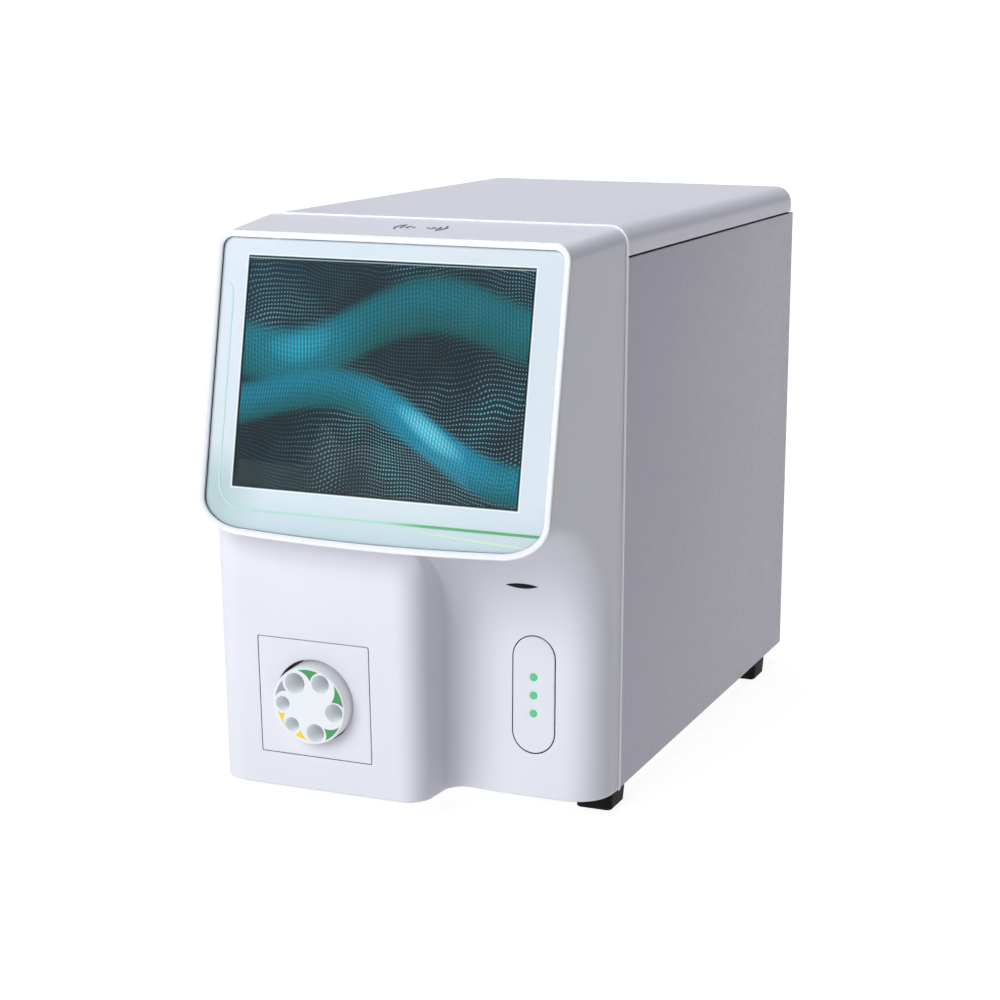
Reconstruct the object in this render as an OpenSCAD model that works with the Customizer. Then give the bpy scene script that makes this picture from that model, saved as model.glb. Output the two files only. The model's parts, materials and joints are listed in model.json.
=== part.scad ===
// Bench-top hematology analyzer: moulded front cover with a leaning display head,
// a tube station at the lower left and an open-tube sampling recess at the lower right,
// on a sheet-metal chassis with the fluidics on the right and the electronics on the left.
// Millimetres. Origin at the middle of the bounding box in plan, on the floor.
// +Z is up and the display faces -Y.

/* [Body] */
// Width over the side panels
body_w = 280; // [274:1:292]
// Depth of the side panels, from the cover seam to the rear panel
body_d = 426; // [416:1:450]
// Height of the body over its feet
body_h = 400; // [396:1:408]
// Height of the feet
foot_h = 15; // [12:1:20]
// Height of the top cover above the side panels
top_h = 21.4; // [19:0.2:24]
// Wall thickness of the front cover
wall = 3; // [2.6:0.1:3.4]

/* [Display head] */
// Backward lean of the display face in degrees
tilt = 11.3; // [10:0.1:12.5]
// Distance of the display's centre in front of the seam
scr_out = 99.7; // [98:0.1:102]
// Width of the lit display area
lcd_w = 211.2; // [200:0.1:216]
// Height of the lit display area
lcd_h = 158.4; // [150:0.1:162]
// Width of the white rim round the glass
rim_w = 4.6; // [4:0.1:6]

/* [Tube station] */
// How far the station block stands out of the seam at its foot
block_out = 86.5; // [85:0.5:88]
// Forward lean of the block's face in degrees
lean = 3.05; // [2:0.05:3.5]
// Side of the square station plate
plate_w = 85.6; // [80:0.2:88]
// Radius of the round opening in the plate
opening_r = 30; // [29.7:0.1:32]
// Radius of the tube wheel
wheel_r = 28.4; // [28:0.1:28.7]
// How far the wheel stands out of the plate
wheel_out = 10; // [8:0.5:13]

/* [Sampling recess] */
// How far the recess wall stands out of the seam
recess_out = 39.8; // [38.5:0.1:41]
// Width of the aspirate button
button_w = 31.2; // [28:0.2:32]
// Height of the aspirate button
button_h = 84.6; // [78:0.2:86]
// Width of the probe slit
slit_w = 24.5; // [20:0.5:26]

/* [Hidden] */
$fn = 48;
hw = body_w / 2;
scr_z = body_h - 99.4;
taper = 9.7;
rim_hw = hw - taper;
rim_cx = rim_hw - 35.3;
rim_top = 96;
side_top = body_h - top_h;
over = scr_out + 115 * sin(tilt) + 2.1;   // reach of the rim in front of the seam
rear_out = 14;                            // reach of the hose barbs behind the body
y_seam = -(over + body_d + rear_out) / 2 + over;
st_x = -56.3; st_z = 68.6;                // middle of the station plate
bt_x = 89.2; bt_z = 75.3;                 // middle of the aspirate button
pr_x = 85; pr_y = -52.7;                 // axis of the sampling probe
shell = [0.93, 0.94, 0.97];
panel = [0.86, 0.86, 0.90];
metal = [0.70, 0.71, 0.73];

// ---------- frames ----------
module seam() { translate([0, y_seam, foot_h]) children(); }
// x across, y up the slope, z out of the display face
module on_screen() { seam() translate([0, -scr_out, scr_z]) rotate([90 - tilt, 0, 0]) children(); }
// x across, y up, z out of the station plate
module on_station() { seam() translate([st_x, -block_out - st_z * tan(lean), st_z]) rotate([90 + lean, 0, 0]) children(); }
// x across, y up, z out of the recess wall
module on_recess() { seam() translate([bt_x, -recess_out, bt_z]) rotate([90, 0, 0]) children(); }
// x across, y up, z towards the front, z = 0 on the rear face
module on_rear(x, z) { seam() translate([x, body_d, z]) rotate([90, 0, 0]) children(); }

// ---------- cover surface ----------
// y of the display plane at height z
function yp(z) = -scr_out + (z - scr_z) * tan(tilt);
z_lo = scr_z - 90.5 * cos(tilt);
// lower edge of the rim, as a height on the slope
function rim_bot(x) = abs(x) <= rim_cx ? -115 + 2.5 * pow(x / rim_cx, 2)
  : -87 - 25.5 * sqrt(max(0, 1 - pow((abs(x) - rim_cx) / 35.3, 2)));
// half width of the side wall, less an inset o
function side(y, z, o) = hw - o - taper * y / yp(max(z, z_lo));
// point on the display plane, d out of it
function dp(x, s, d) = [x, -scr_out + s * sin(tilt) - d * cos(tilt), scr_z + s * cos(tilt) + d * sin(tilt)];
function mix(a, b, t) = a * (1 - t) + b * t;

N = 44;                       // points along the plan outline, from the left seam to the right one
function bow(x) = 2 * pow((x - 92) / 50, 2);
// plan outline at height z, inset by o, with its ends at y = e
function low(i, z, o, e) =
  let (yb = -block_out - z * tan(lean), lcy = yb + 15, lcx = -(side(lcy, z, 0) - 22),
    xg = side(-11, z, 0) - 28, ey = -recess_out + bow(40.5) - 14, gy = -recess_out + bow(xg) + 28)
  i <= 3 ? (let (y = mix(e, lcy, i / 4)) [-side(y, z, o), y]) :
  i <= 9 ? (let (a = 18 * (i - 4)) [lcx - (22 - o) * cos(a), lcy - (15 - o) * sin(a)]) :
  i <= 14 ? [mix(lcx, 7, (i - 9) / 6), yb + o] :
  i <= 20 ? (let (a = 18 * (i - 15)) [7 + (18 - o) * sin(a), yb + 18 - (18 - o) * cos(a)]) :
  i <= 26 ? (let (a = 18 * (i - 21)) [40.5 - (14 + o) * cos(a), ey + (14 + o) * sin(a)]) :
  i <= 32 ? (let (x = mix(40.5, xg, (i - 26) / 7)) [x, -recess_out + bow(x) + o]) :
  i <= 39 ? (let (a = 15 * (i - 33)) [xg + (28 - o) * sin(a), gy - (28 - o) * cos(a)]) :
  (let (y = mix(gy, e, (i - 39) / 4)) [side(y, z, o), y]);
// the matching point under the rim, for the skin (o = 0) or the hollow behind it
function rim_x(i) = i <= 9 ? -rim_cx - 35.3 * cos(mix(8, 90, (i - 4) / 5)) :
  i <= 14 ? mix(-rim_cx, 7, (i - 9) / 6) :
  i <= 20 ? 7 + 18 * sin(18 * (i - 15)) :
  i <= 26 ? 40.5 - 14 * cos(18 * (i - 21)) :
  i <= 32 ? mix(40.5, rim_cx, (i - 26) / 7) :
  rim_cx + 35.3 * cos(mix(90, 8, (i - 33) / 6));
function rim_pt(i, o) = let (x = rim_x(i), d = o > 0 ? -6 : 0, s = o > 0 ? 4 : 0)
  dp(x * (rim_hw - o) / rim_hw, rim_bot(x) + s, d);
function under(i, o, e) =
  i <= 3 ? (let (r = rim_pt(4, o), y = mix(e, r[1], i / 4)) [-side(y, r[2], o), y, r[2]]) :
  i <= 39 ? rim_pt(i, o) :
  (let (r = rim_pt(39, o), y = mix(r[1], e, (i - 39) / 4)) [side(y, r[2], o), y, r[2]]);
// height at which the cove leaves the wall
function cove_z(i, o, e) = let (r = under(i, o, e), p = low(i, 165, o, e))
  r[2] - max(20, 0.88 * norm([r[0] - p[0], r[1] - p[1]]));
function cove(i, f, o, e) = let (zc = cove_z(i, o, e), p = low(i, zc, o, e), r = under(i, o, e))
  [mix(p[0], r[0], 1 - cos(f)), mix(p[1], r[1], 1 - cos(f)), mix(zc, r[2], sin(f))];
function head(i, t, o, e, top) = let (r = under(i, o, e), z = mix(r[2], top, t), d = o > 0 ? 6 / cos(tilt) : 0, y = yp(z) + d)
  i <= 3 ? (let (v = mix(e, y, i / 4)) [-side(v, z, o), v, z]) :
  i <= 39 ? [r[0], y, z] :
  (let (v = mix(y, e, (i - 39) / 4)) [side(v, z, o), v, z]);
function foot_row(i, z, o, e) = let (p = low(i, z, o, e)) [p[0], p[1], z];
M = 18;
function skin_pts(o, e, top) = concat(
  [for (r = o > 0 ? [[-1, 0], [0.8, 0], [2, 0]] : [[0, 1.6], [0.5, 0.5], [1.8, 0]]) for (i = [0 : N - 1]) foot_row(i, r[0], o + r[1], e)],
  [for (t = [1 : 3]) for (i = [0 : N - 1]) foot_row(i, mix(2, cove_z(i, o, e), t / 3), o, e)],
  [for (k = [1 : 9]) for (i = [0 : N - 1]) cove(i, 10 * k, o, e)],
  [for (t = [1 : 3]) for (i = [0 : N - 1]) head(i, t / 3, o, e, top)]);
module skin(o, e, top) polyhedron(points = skin_pts(o, e, top), faces = concat(
  [[for (i = [0 : N - 1]) i]], [[for (i = [0 : N - 1]) M * N - 1 - i]],
  [for (j = [0 : M - 2]) for (i = [0 : N - 2]) [j * N + i, j * N + N + i, j * N + N + i + 1]],
  [for (j = [0 : M - 2]) for (i = [0 : N - 2]) [j * N + i, j * N + N + i + 1, j * N + i + 1]],
  [for (j = [0 : M - 2]) [j * N + N - 1, j * N + 2 * N - 1, j * N + N]],
  [for (j = [0 : M - 2]) [j * N + N - 1, j * N + N, j * N]]));
// rounded top edges over a top face that falls towards the front
function crown_z(y) = body_h + y * 5.3 / 81;
module crown_slice(y, o) translate([0, y, 0]) rotate([90, 0, 0]) linear_extrude(0.02) hull() {
  w = hw + 0.16 + taper * y / 81 - o;
  for (s = [-1, 1]) translate([s * (w - 12 + o), crown_z(y) - 12]) circle(12 - o);
  translate([-w, body_h - 22]) square([2 * w, 1]);
}
module crown(o) {
  translate([-hw - 5, -160, -5]) cube([2 * hw + 10, 170, body_h - 12]);
  hull() { crown_slice(4, o); crown_slice(-92, o); }
}
module round_top(w, h, r) {            // half width w, top at h, down to z = 0
  translate([-w, 0]) square([2 * w, h - r]);
  translate([r - w, 0]) square([2 * (w - r), h]);
  for (s = [-1, 1]) translate([s * (w - r), h - r]) circle(r, $fn = 64);
}
// outline of the rim on the display plane, inset by g
function rim_line(g) = let (r = max(4, 12 - g)) concat(
  [for (k = [0 : 6]) [rim_hw - g - r + r * cos(15 * k), rim_top - g - r + r * sin(15 * k)]],
  [for (k = [0 : 6]) [-(rim_hw - g - r) - r * sin(15 * k), rim_top - g - r + r * cos(15 * k)]],
  [for (k = [0 : 8]) [-rim_cx - (35.3 - g) * cos(11.25 * k), -87 - (25.5 - g) * sin(11.25 * k)]],
  [for (k = [1 : 7]) let (x = rim_cx * (k / 4 - 1)) [x, -115 + 2.5 * pow(x / rim_cx, 2) + g]],
  [for (k = [0 : 8]) [rim_cx + (35.3 - g) * sin(11.25 * k), -87 - (25.5 - g) * cos(11.25 * k)]]);
module rim_slab(g, z0, z1) translate([0, 0, z0]) linear_extrude(z1 - z0) polygon(rim_line(g));
module box(x0, y0, z0, x1, y1, z1) translate([x0, y0, z0]) cube([x1 - x0, y1 - y0, z1 - z0]);
module stadium(w, h) {
  translate([-w / 2, -(h - w) / 2]) square([w, h - w]);
  for (s = [-1, 1]) translate([0, s * (h - w) / 2]) circle(w / 2, $fn = 64);
}
module lens(w, h) {                    // pointed both ends
  r = (w * w / 4 + h * h / 4) / h;
  intersection() {
    translate([0, r - h / 2]) circle(r, $fn = 96);
    translate([0, -(r - h / 2)]) circle(r, $fn = 96);
  }
}

// ---------- front cover and display ----------
module front_cover() color(shell) resize([2 * (hw + 0.8), 0, 0]) union() {
  difference() {
    union() {
      seam() intersection() { skin(0, 0, body_h + 4); crown(0); }
      // thin raised lip round the rear edge
      seam() translate([0, -0.2, 0]) rotate([90, 0, 0]) linear_extrude(2.4) round_top(hw + 0.8, body_h + 0.8, 12.8);
    }
    seam() intersection() { skin(wall, 3, body_h + 2); crown(wall); }
    on_screen() { rim_slab(2, -2.2, 6); box(-115, -88, -12, 115, 88, 0); }
    on_station() box(-plate_w / 2 - 0.5, -plate_w / 2 - 0.5, -8, plate_w / 2 + 0.5, plate_w / 2 + 0.5, 8);
    on_recess() translate([0, 0, -8]) linear_extrude(16) stadium(button_w + 0.9, button_h + 0.9);
    seam() translate([pr_x, pr_y, 145]) linear_extrude(34) lens(slit_w, 3.2);
  }
  // posts of the reader board
  seam() for (x = [-24, 24]) for (y = [-52, -18]) translate([x, y, 386.8]) cylinder(r = 3, h = crown_z(y) - wall + 1 - 386.8, $fn = 20);
}
module display_bezel() color([0.95, 0.96, 0.98]) on_screen() difference() {
  union() { rim_slab(2.2, -2.1, 0.4); rim_slab(0, 0.3, 1.3); rim_slab(0.9, 1.3, 2); }
  rim_slab(rim_w, -3, 3);
}
module cover_glass() color([0.85, 0.92, 0.95, 0.35]) on_screen() rim_slab(rim_w + 0.1, -1.6, 0.5);
module green_path(w) {
  translate([-96, -95 - w / 2]) square([218, w]);
  translate([-116 - w / 2, -75]) square([w, 133]);
  intersection() {
    difference() { translate([-96, -75]) circle(20 + w / 2, $fn = 96); translate([-96, -75]) circle(20 - w / 2, $fn = 96); }
    translate([-120, -99]) square([24, 24]);
  }
}
module green_line_print() color([0.26, 0.62, 0.36]) on_screen() translate([0, 0, -1.8]) linear_extrude(0.2) green_path(1.7);
module border_print() color([0.86, 0.91, 0.94]) on_screen() difference() {
  rim_slab(rim_w + 0.2, -2.1, -1.8);
  box(-lcd_w / 2, -lcd_h / 2, -3, lcd_w / 2, lcd_h / 2, -1);
}
module lcd_panel() color([0.03, 0.12, 0.17]) on_screen() box(-lcd_w / 2 - 1, -lcd_h / 2 - 1, -2.7, lcd_w / 2 + 1, lcd_h / 2 + 1, -2.15);
module lcd_module() color(metal) on_screen() {
  box(-114, -86, -10.5, 114, 86, -2.8);
  box(-70, -60, -12, 70, 20, -10.5);
}
module display_bracket() color(metal) on_screen() difference() {
  union() { box(-122, -92, -13.6, 122, 90, -12.1); for (s = [-1, 1]) box(s * 119 - 3, -50, -12.2, s * 119 + 3, 50, -6.3); }
  box(-60, -50, -15, 60, 10, -11);
  for (x = [-90, 90]) for (y = [-60, 60]) translate([x, y, -15]) cylinder(r = 6, h = 5);
}
module reader_board() color([0.10, 0.35, 0.20]) seam() {
  box(-28, -58, 385, 28, -12, 386.6);
  box(-10, -45, 383, 10, -25, 385.1);
}
// two mirrored groups of arcs printed over the card reader
module reader_marks() color([0.62, 0.64, 0.68]) seam() translate([4, -40, crown_z(-40) + 0.01]) rotate([atan(5.3 / 81), 0, 0]) linear_extrude(0.25)
  for (m = [0, 1]) mirror([m, 0]) for (r = [6, 12, 18]) intersection() {
    difference() { circle(r + 0.9, $fn = 72); circle(r - 0.9, $fn = 72); }
    translate([0, -r * 0.75]) square([r + 2, r * 1.5]);
    translate([r * 0.6, -r]) square([r, 2 * r]);
  }

// ---------- tube station ----------
// angle, radius and distance from the wheel's axis of each well, and the angle of the needle's hole in its floor
wells = [[122, 7.5, 18.8, 122], [60, 6.6, 20, 56], [-8, 6.6, 20, -8], [-76, 6.6, 20, -76], [-131.5, 5.2, 20, -124], [180, 5.2, 20, 180]];
ring_r = 20;
wheel_y = -1.6;
open_y = -0.65;
wz = wheel_out;
module station_plate() color([0.93, 0.94, 0.97]) on_station() difference() {
  union() {
    box(-plate_w / 2, -plate_w / 2, -3, plate_w / 2, plate_w / 2, 0);
    translate([0, open_y, -16]) cylinder(r = opening_r + 2.4, h = 14, $fn = 72);
  }
  translate([0, open_y, -20]) cylinder(r = opening_r, h = 24, $fn = 72);
}
module tube_wheel() color([0.95, 0.96, 0.98]) on_station() translate([0, wheel_y, 0]) difference() {
  union() {
    translate([0, 0, -34]) cylinder(r = wheel_r, h = wz - 2.4 + 34, $fn = 96);
    translate([0, 0, wz - 2.4]) cylinder(r1 = wheel_r, r2 = wheel_r - 1.25, h = 2.4, $fn = 96);
    translate([0, 0, -38]) cylinder(r = 12, h = 5);
  }
  for (w = wells) {
    rotate(w[0]) translate([w[2], 0, -22]) cylinder(r = w[1], h = wz + 23);
    rotate(w[3]) translate([ring_r, 0, -35]) cylinder(r = 1.7, h = 14);
  }
  translate([0, 0, -39]) cylinder(r = 4, h = 19);
}
function polar(r, a) = [r * cos(a), r * sin(a)];
function hollow(p, q, sag) = let (n = [q[1] - p[1], p[0] - q[0]] / norm(q - p))
  [for (k = [0:8]) let (t = k / 8) p + (q - p) * t + n * (4 * sag * t * (1 - t))];
// a fin with its tip beside the well at angle a, r is the radius of its outer side; from, to and tip are angles past a
module well_mark(a, r, from, to, tip, tip_r) translate([0, wheel_y, wz + 0.01]) linear_extrude(0.3) offset(r = 0.6, $fn = 24) offset(delta = -0.6)
  polygon(concat([for (k = [0:10]) polar(r, a + from + (to - from) * k / 10)],
    hollow(polar(r, a + to), polar(tip_r, a + tip), -1.5), hollow(polar(tip_r, a + tip), polar(r, a + from), -1.2)));
module wheel_marks_green() color([0.26, 0.60, 0.36]) on_station() {
  well_mark(60, 26.9, 11.5, 46.5, 24, 18.9);
  well_mark(-8, 27, 12.5, 49, 22.8, 18.8);
  well_mark(-76, 26.7, 14, 48.5, 23.6, 18.9);
}
module wheel_marks_yellow() color([0.98, 0.80, 0.12]) on_station() {
  well_mark(180, 24.8, 12.8, 40, 20.6, 19.4);
  well_mark(228.5, 25, 13.3, 39.5, 20.5, 19.1);
}
module wheel_mark_grey() color([0.63, 0.63, 0.65]) on_station() well_mark(120, 26, 18.2, 50, 30.3, 19.2);
module wheel_shaft() color(metal) on_station() translate([0, wheel_y, -70]) cylinder(r = 3.95, h = 49.8);
nx = ring_r * cos(wells[1][3]); ny = ring_r * sin(wells[1][3]) + wheel_y;
module station_frame() color(metal) on_station() {
  difference() {
    union() {
      box(-49, -49, -6.4, 49, 49, -3.4);
      box(-45, -45, -54, 45, 45, -51);
      for (x = [-41, 41]) for (y = [-41, 41]) translate([x, y, -51.5]) cylinder(r = 4, h = 46);
    }
    translate([0, 0, -8]) cylinder(r = 36, h = 6, $fn = 72);
    translate([0, wheel_y, -55]) cylinder(r = 9, h = 5);
    translate([nx, ny, -55]) cylinder(r = 1.3, h = 5);
  }
  for (x = [-6.5, 7.5]) translate([nx + x, ny + 8.5, -99]) cylinder(r = 2, h = 45.2);
  box(nx - 10.5, ny + 3, -100.5, nx + 11.5, ny + 13, -98);
}
module station_motor() color([0.25, 0.26, 0.28]) on_station() translate([0, wheel_y, 0]) difference() {
  union() { translate([0, 0, -92]) cylinder(r = 14, h = 37.8); translate([0, 0, -54.5]) cylinder(r = 8.6, h = 3.2); }
  translate([0, 0, -72]) cylinder(r = 4.02, h = 24);
}
module pierce_needle() color([0.80, 0.81, 0.83]) on_station() translate([nx, ny, -86]) { cylinder(r = 0.8, h = 46.5, $fn = 24); translate([0, 0, 46.5]) cylinder(r1 = 0.8, r2 = 0.2, h = 2.5, $fn = 24); }
module pierce_carriage() color([0.90, 0.90, 0.88]) on_station() difference() {
  box(nx - 9.5, ny - 1.9, -86, nx + 10.5, ny + 12, -77);
  for (x = [-6.5, 7.5]) translate([nx + x, ny + 8.5, -87]) cylinder(r = 2.06, h = 12);
  translate([nx, ny, -87]) cylinder(r = 0.85, h = 12, $fn = 24);
}

// ---------- aspirate button ----------
led_y = [12.9, -0.3, -13.5];
module aspirate_button() color([0.93, 0.94, 0.97]) on_recess() difference() {
  union() {
    translate([0, 0, -4]) linear_extrude(3.8) stadium(button_w, button_h);
    translate([0, 0, -0.2]) linear_extrude(0.5) stadium(button_w - 1.4, button_h - 1.4);
    translate([0, 0, -6.2]) linear_extrude(2.4) stadium(button_w + 4, button_h + 4);
    for (s = [-1, 1]) translate([0, 30 * s, -22]) cylinder(r = 3, h = 17);
  }
  for (y = led_y) translate([0, y, -8]) cylinder(r = 2.8, h = 12, $fn = 32);
}
module button_lights() color([0.35, 0.86, 0.57]) on_recess() for (y = led_y) translate([0, y, -6.2]) cylinder(r = 2.72, h = 6.6, $fn = 32);
module button_housing() color([0.30, 0.31, 0.33]) on_recess() difference() {
  union() {
    translate([0, 0, -16.5]) linear_extrude(12.9) stadium(button_w + 14, button_h + 14);
    for (s = [-1, 1]) translate([0, 30 * s, -20]) cylinder(r = 5, h = 4);
  }
  translate([0, 0, -14]) linear_extrude(12) stadium(button_w + 6.6, button_h + 6.6);
  for (s = [-1, 1]) translate([0, 30 * s, -22]) cylinder(r = 3.05, h = 12);
}
module button_switch() color([0.12, 0.12, 0.13]) on_recess() {
  box(-6, 17.5, -13.9, 6, 24.5, -10.2);
  translate([0, 21, -10.3]) cylinder(r = 1.5, h = 1.3);
  box(-8, -18, -13.9, 8, 16.8, -12.4);
}

// ---------- open-tube sampling probe ----------
rod_y = -34;
module probe() color([0.80, 0.81, 0.83]) seam() translate([pr_x, pr_y, 187]) cylinder(r = 0.9, h = 158, $fn = 32);
module probe_carriage() color([0.88, 0.88, 0.86]) seam() difference() {
  union() { box(pr_x - 21, -42, 322, pr_x + 21, -25, 338); box(pr_x - 7, pr_y - 6.5, 324, pr_x + 7, -41, 332); }
  for (s = [-1, 1]) translate([pr_x + 14.5 * s, rod_y, 320]) cylinder(r = 3.05, h = 20);
  translate([pr_x, rod_y, 320]) cylinder(r = 4.05, h = 20);
  translate([pr_x, pr_y, 320]) cylinder(r = 0.95, h = 20, $fn = 32);
}
module probe_frame() color(metal) seam() {
  difference() {
    union() {
      box(pr_x - 27, -14, 192, pr_x + 27, -11, 376);
      box(pr_x - 27, -44, 373, pr_x + 27, -11, 376);
      box(pr_x - 27, pr_y - 8.5, 192, pr_x + 27, -11, 195);
      for (z = [230, 330]) box(pr_x - 12, -11.5, z, pr_x + 12, 13.8, z + 20);
    }
    translate([pr_x, rod_y, 370]) cylinder(r = 6, h = 10);
    translate([pr_x, rod_y, 190]) cylinder(r = 4.05, h = 10);
    translate([pr_x, pr_y, 190]) cylinder(r = 2.4, h = 10, $fn = 32);
  }
  for (s = [-1, 1]) translate([pr_x + 14.5 * s, rod_y, 194.5]) cylinder(r = 3, h = 179);
}
module probe_screw() color([0.62, 0.63, 0.65]) seam() translate([pr_x, rod_y, 192.4]) cylinder(r = 4, h = 192);
module probe_motor() color([0.25, 0.26, 0.28]) seam() difference() {
  translate([pr_x, rod_y, 376.2]) cylinder(r = 13.5, h = 15);
  translate([pr_x, rod_y, 374]) cylinder(r = 4.06, h = 12);
}
module wash_block() color([0.92, 0.92, 0.90]) seam() difference() {
  box(pr_x - 9, pr_y - 6, 184, pr_x + 9, pr_y + 7, 191.8);
  translate([pr_x, pr_y, 180]) cylinder(r = 1.5, h = 16, $fn = 32);
}

// ---------- body panels ----------
module top_cover() color(shell) seam() difference() {
  intersection() {
    translate([0, body_d, side_top + 1.2]) rotate([90, 0, 0]) linear_extrude(body_d - 0.5) round_top(hw, top_h - 1.2, 13);
    union() {
      box(-hw, 0, side_top + 1.2, hw, body_d - 9, 450);
      box(9 - hw, 0, side_top + 1.2, hw - 9, body_d, 450);
      for (s = [-1, 1]) translate([s * (hw - 9), body_d - 9, side_top + 1.2]) cylinder(r = 9, h = 60);
    }
  }
  translate([0, body_d - 3, side_top - 5]) rotate([90, 0, 0]) linear_extrude(body_d) round_top(hw - 2.6, top_h + 2.4, 10.4);
}
module side_panel() {
  difference() {
    box(hw - 2, 0.5, 1, hw, body_d, side_top);
    box(hw - 5, 40, 60, hw - 1.2, body_d - 30, 340);
  }
  box(hw - 14, 20, side_top - 3.2, hw - 1.9, body_d - 20, side_top - 1.6);
}
module left_side_panel() color(panel) seam() mirror([1, 0, 0]) side_panel();
module right_side_panel() color(panel) seam() side_panel();
fan_x = -82; fan_z = 288;
inl_x = 96; inl_z = 62;
io_x = 40; io_z = 150;
fit_x = [-116, -92, -68, -44]; fit_z = 60;
screw_at = [[-128, 12], [128, 12], [-128, 190], [128, 190], [-128, 366], [128, 366], [0, 12], [0, 366]];
module rear_panel() color(panel) difference() {
  on_rear(0, 0) box(2.3 - hw, 1.2, 0, hw - 2.3, side_top - 0.2, 2);
  on_rear(fan_x, fan_z) translate([0, 0, -2]) cylinder(r = 38, h = 6, $fn = 72);
  on_rear(inl_x, inl_z) box(-13.2, -28.2, -2, 13.2, 28.2, 5);
  on_rear(io_x, io_z) box(-31, -9, -2, 31, 9, 5);
  for (x = fit_x) on_rear(x, fit_z) translate([0, 0, -2]) cylinder(r = 4.3, h = 6);
  for (p = screw_at) on_rear(p[0], p[1]) translate([0, 0, -2]) cylinder(r = 1.7, h = 6, $fn = 24);
}
module panel_screws() color(metal) for (p = screw_at) on_rear(p[0], p[1]) {
  translate([0, 0, -2]) cylinder(r = 3, h = 1.9, $fn = 32);
  translate([0, 0, -0.2]) cylinder(r = 1.5, h = 7, $fn = 24);
}
plate_line = [[4 - hw, body_d - 3], [hw - 4, body_d - 3], [hw - 4, -4], [hw - 12, -21], [108, -32], [42, -32], [29, -37.5], [20.5, -50], [17, -66], [7, -76], [-106, -76], [-122, -71], [-128, -62], [4 - hw, -4]];
foot_at = [[hw - 18, 9], [18 - hw, 9], [hw - 16, body_d - 58], [16 - hw, body_d - 58]];
module base_plate() color(metal) seam() difference() {
  union() {
    linear_extrude(2) polygon(plate_line);
    for (s = [-1, 1]) box(s * (hw - 4.8) - 0.8, 2, 1, s * (hw - 4.8) + 0.8, body_d - 3, 16);
    for (p = foot_at) translate([p[0], p[1], 1]) cylinder(r = 5.5, h = 6);
  }
  for (p = foot_at) translate([p[0], p[1], -2]) cylinder(r = 2.7, h = 14);
}
module feet() color([0.07, 0.07, 0.08]) seam() difference() {
  for (p = foot_at) translate([p[0], p[1], 0]) hull() {
    translate([-14, -16, -6]) cube([28, 32, 5.9]);
    translate([-13.3, -15, -foot_h]) cube([26.6, 30, 1]);
  }
  for (p = foot_at) translate([p[0], p[1], 0]) {
    translate([0, 0, -foot_h - 1]) cylinder(r = 5, h = 8);
    translate([0, 0, -foot_h]) cylinder(r = 2.75, h = foot_h + 1);
  }
}
module foot_screws() color(metal) seam() for (p = foot_at) translate([p[0], p[1], 0]) {
  translate([0, 0, 7 - foot_h - 0.05]) mirror([0, 0, 1]) cylinder(r = 4.4, h = 4);
  translate([0, 0, 6.5 - foot_h]) cylinder(r = 2.5, h = foot_h + 1);
}
module chassis_frame() color(metal) seam() difference() {
  union() {
    box(6 - hw, 14, 2.1, hw - 6, 16, 366);
    box(-1, 16, 2.1, 1, body_d - 6, 366);
    for (s = [-1, 1]) {
      box(s * (hw - 14) - 8, 14, 364, s * (hw - 14) + 8, body_d - 4, 366);
      box(s * (hw - 12) - 5, body_d - 14, 2.1, s * (hw - 12) + 5, body_d - 12, 365);
    }
    box(-1, 14, 364, 1, body_d - 4, 366);
    box(6 - hw, 16, 190, -22, 246, 192);
    box(6 - hw, body_d - 14, 364, hw - 6, body_d - 4, 366);
  }
  box(-115, 10, 230, -30, 20, 330);
  box(30, 10, 205, 60, 20, 325);
  box(-4, 40, 300, 4, 110, 350);
  for (p = foot_at) translate([p[0], p[1], 0]) cylinder(r = 5.8, h = 8.5);
  for (p = screw_at) translate([p[0], body_d - 9, p[1]]) rotate([-90, 0, 0]) cylinder(r = 1.8, h = 10, $fn = 24);
}

// ---------- fluidics ----------
module bath_bracket() color(metal) seam() difference() {
  union() { box(22, 18, 146, 118, 84, 149); box(22, 16.1, 120, 118, 18.1, 170); }
  for (x = [46, 92]) translate([x, 56, 140]) cylinder(r = 13.4, h = 14);
}
module counting_baths() color([0.80, 0.80, 0.74]) seam() for (x = [46, 92]) translate([x, 56, 0]) difference() {
  union() {
    translate([0, 0, 118]) cylinder(r = 13, h = 47);
    translate([0, 0, 106]) cylinder(r1 = 4, r2 = 13, h = 12);
    translate([0, 0, 98]) cylinder(r = 2.5, h = 9);
    translate([0, 0, 149.1]) cylinder(r = 16, h = 2.4);
  }
  translate([0, 0, 120]) cylinder(r = 11, h = 60);
  translate([0, 0, 110]) cylinder(r1 = 3, r2 = 11, h = 10.01);
  translate([0, 0, 90]) cylinder(r = 1.2, h = 25, $fn = 24);
}
sy_x = 24;
module syringe_frame() color(metal) seam() difference() {
  union() {
    box(1.1, 108, 58, 4.1, 192, 262);
    box(1.1, 108, 58, 40, 192, 61);
    box(1.1, 108, 146, 40, 192, 149);
    box(1.1, 108, 221, 40, 192, 224);
  }
  translate([sy_x, 150, 55]) cylinder(r = 4.06, h = 10);
  translate([sy_x, 150, 140]) cylinder(r = 4.06, h = 12);
  for (y = [128, 172]) translate([sy_x, y, 140]) cylinder(r = 5.6, h = 90);
}
module syringe_barrels() color([0.82, 0.90, 0.92, 0.4]) seam() for (y = [128, 172]) translate([sy_x, y, 149.2]) difference() {
  cylinder(r = 8, h = 71.6);
  translate([0, 0, -1]) cylinder(r = 5.06, h = 70);
  cylinder(r = 1.2, h = 90, $fn = 24);
}
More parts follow.
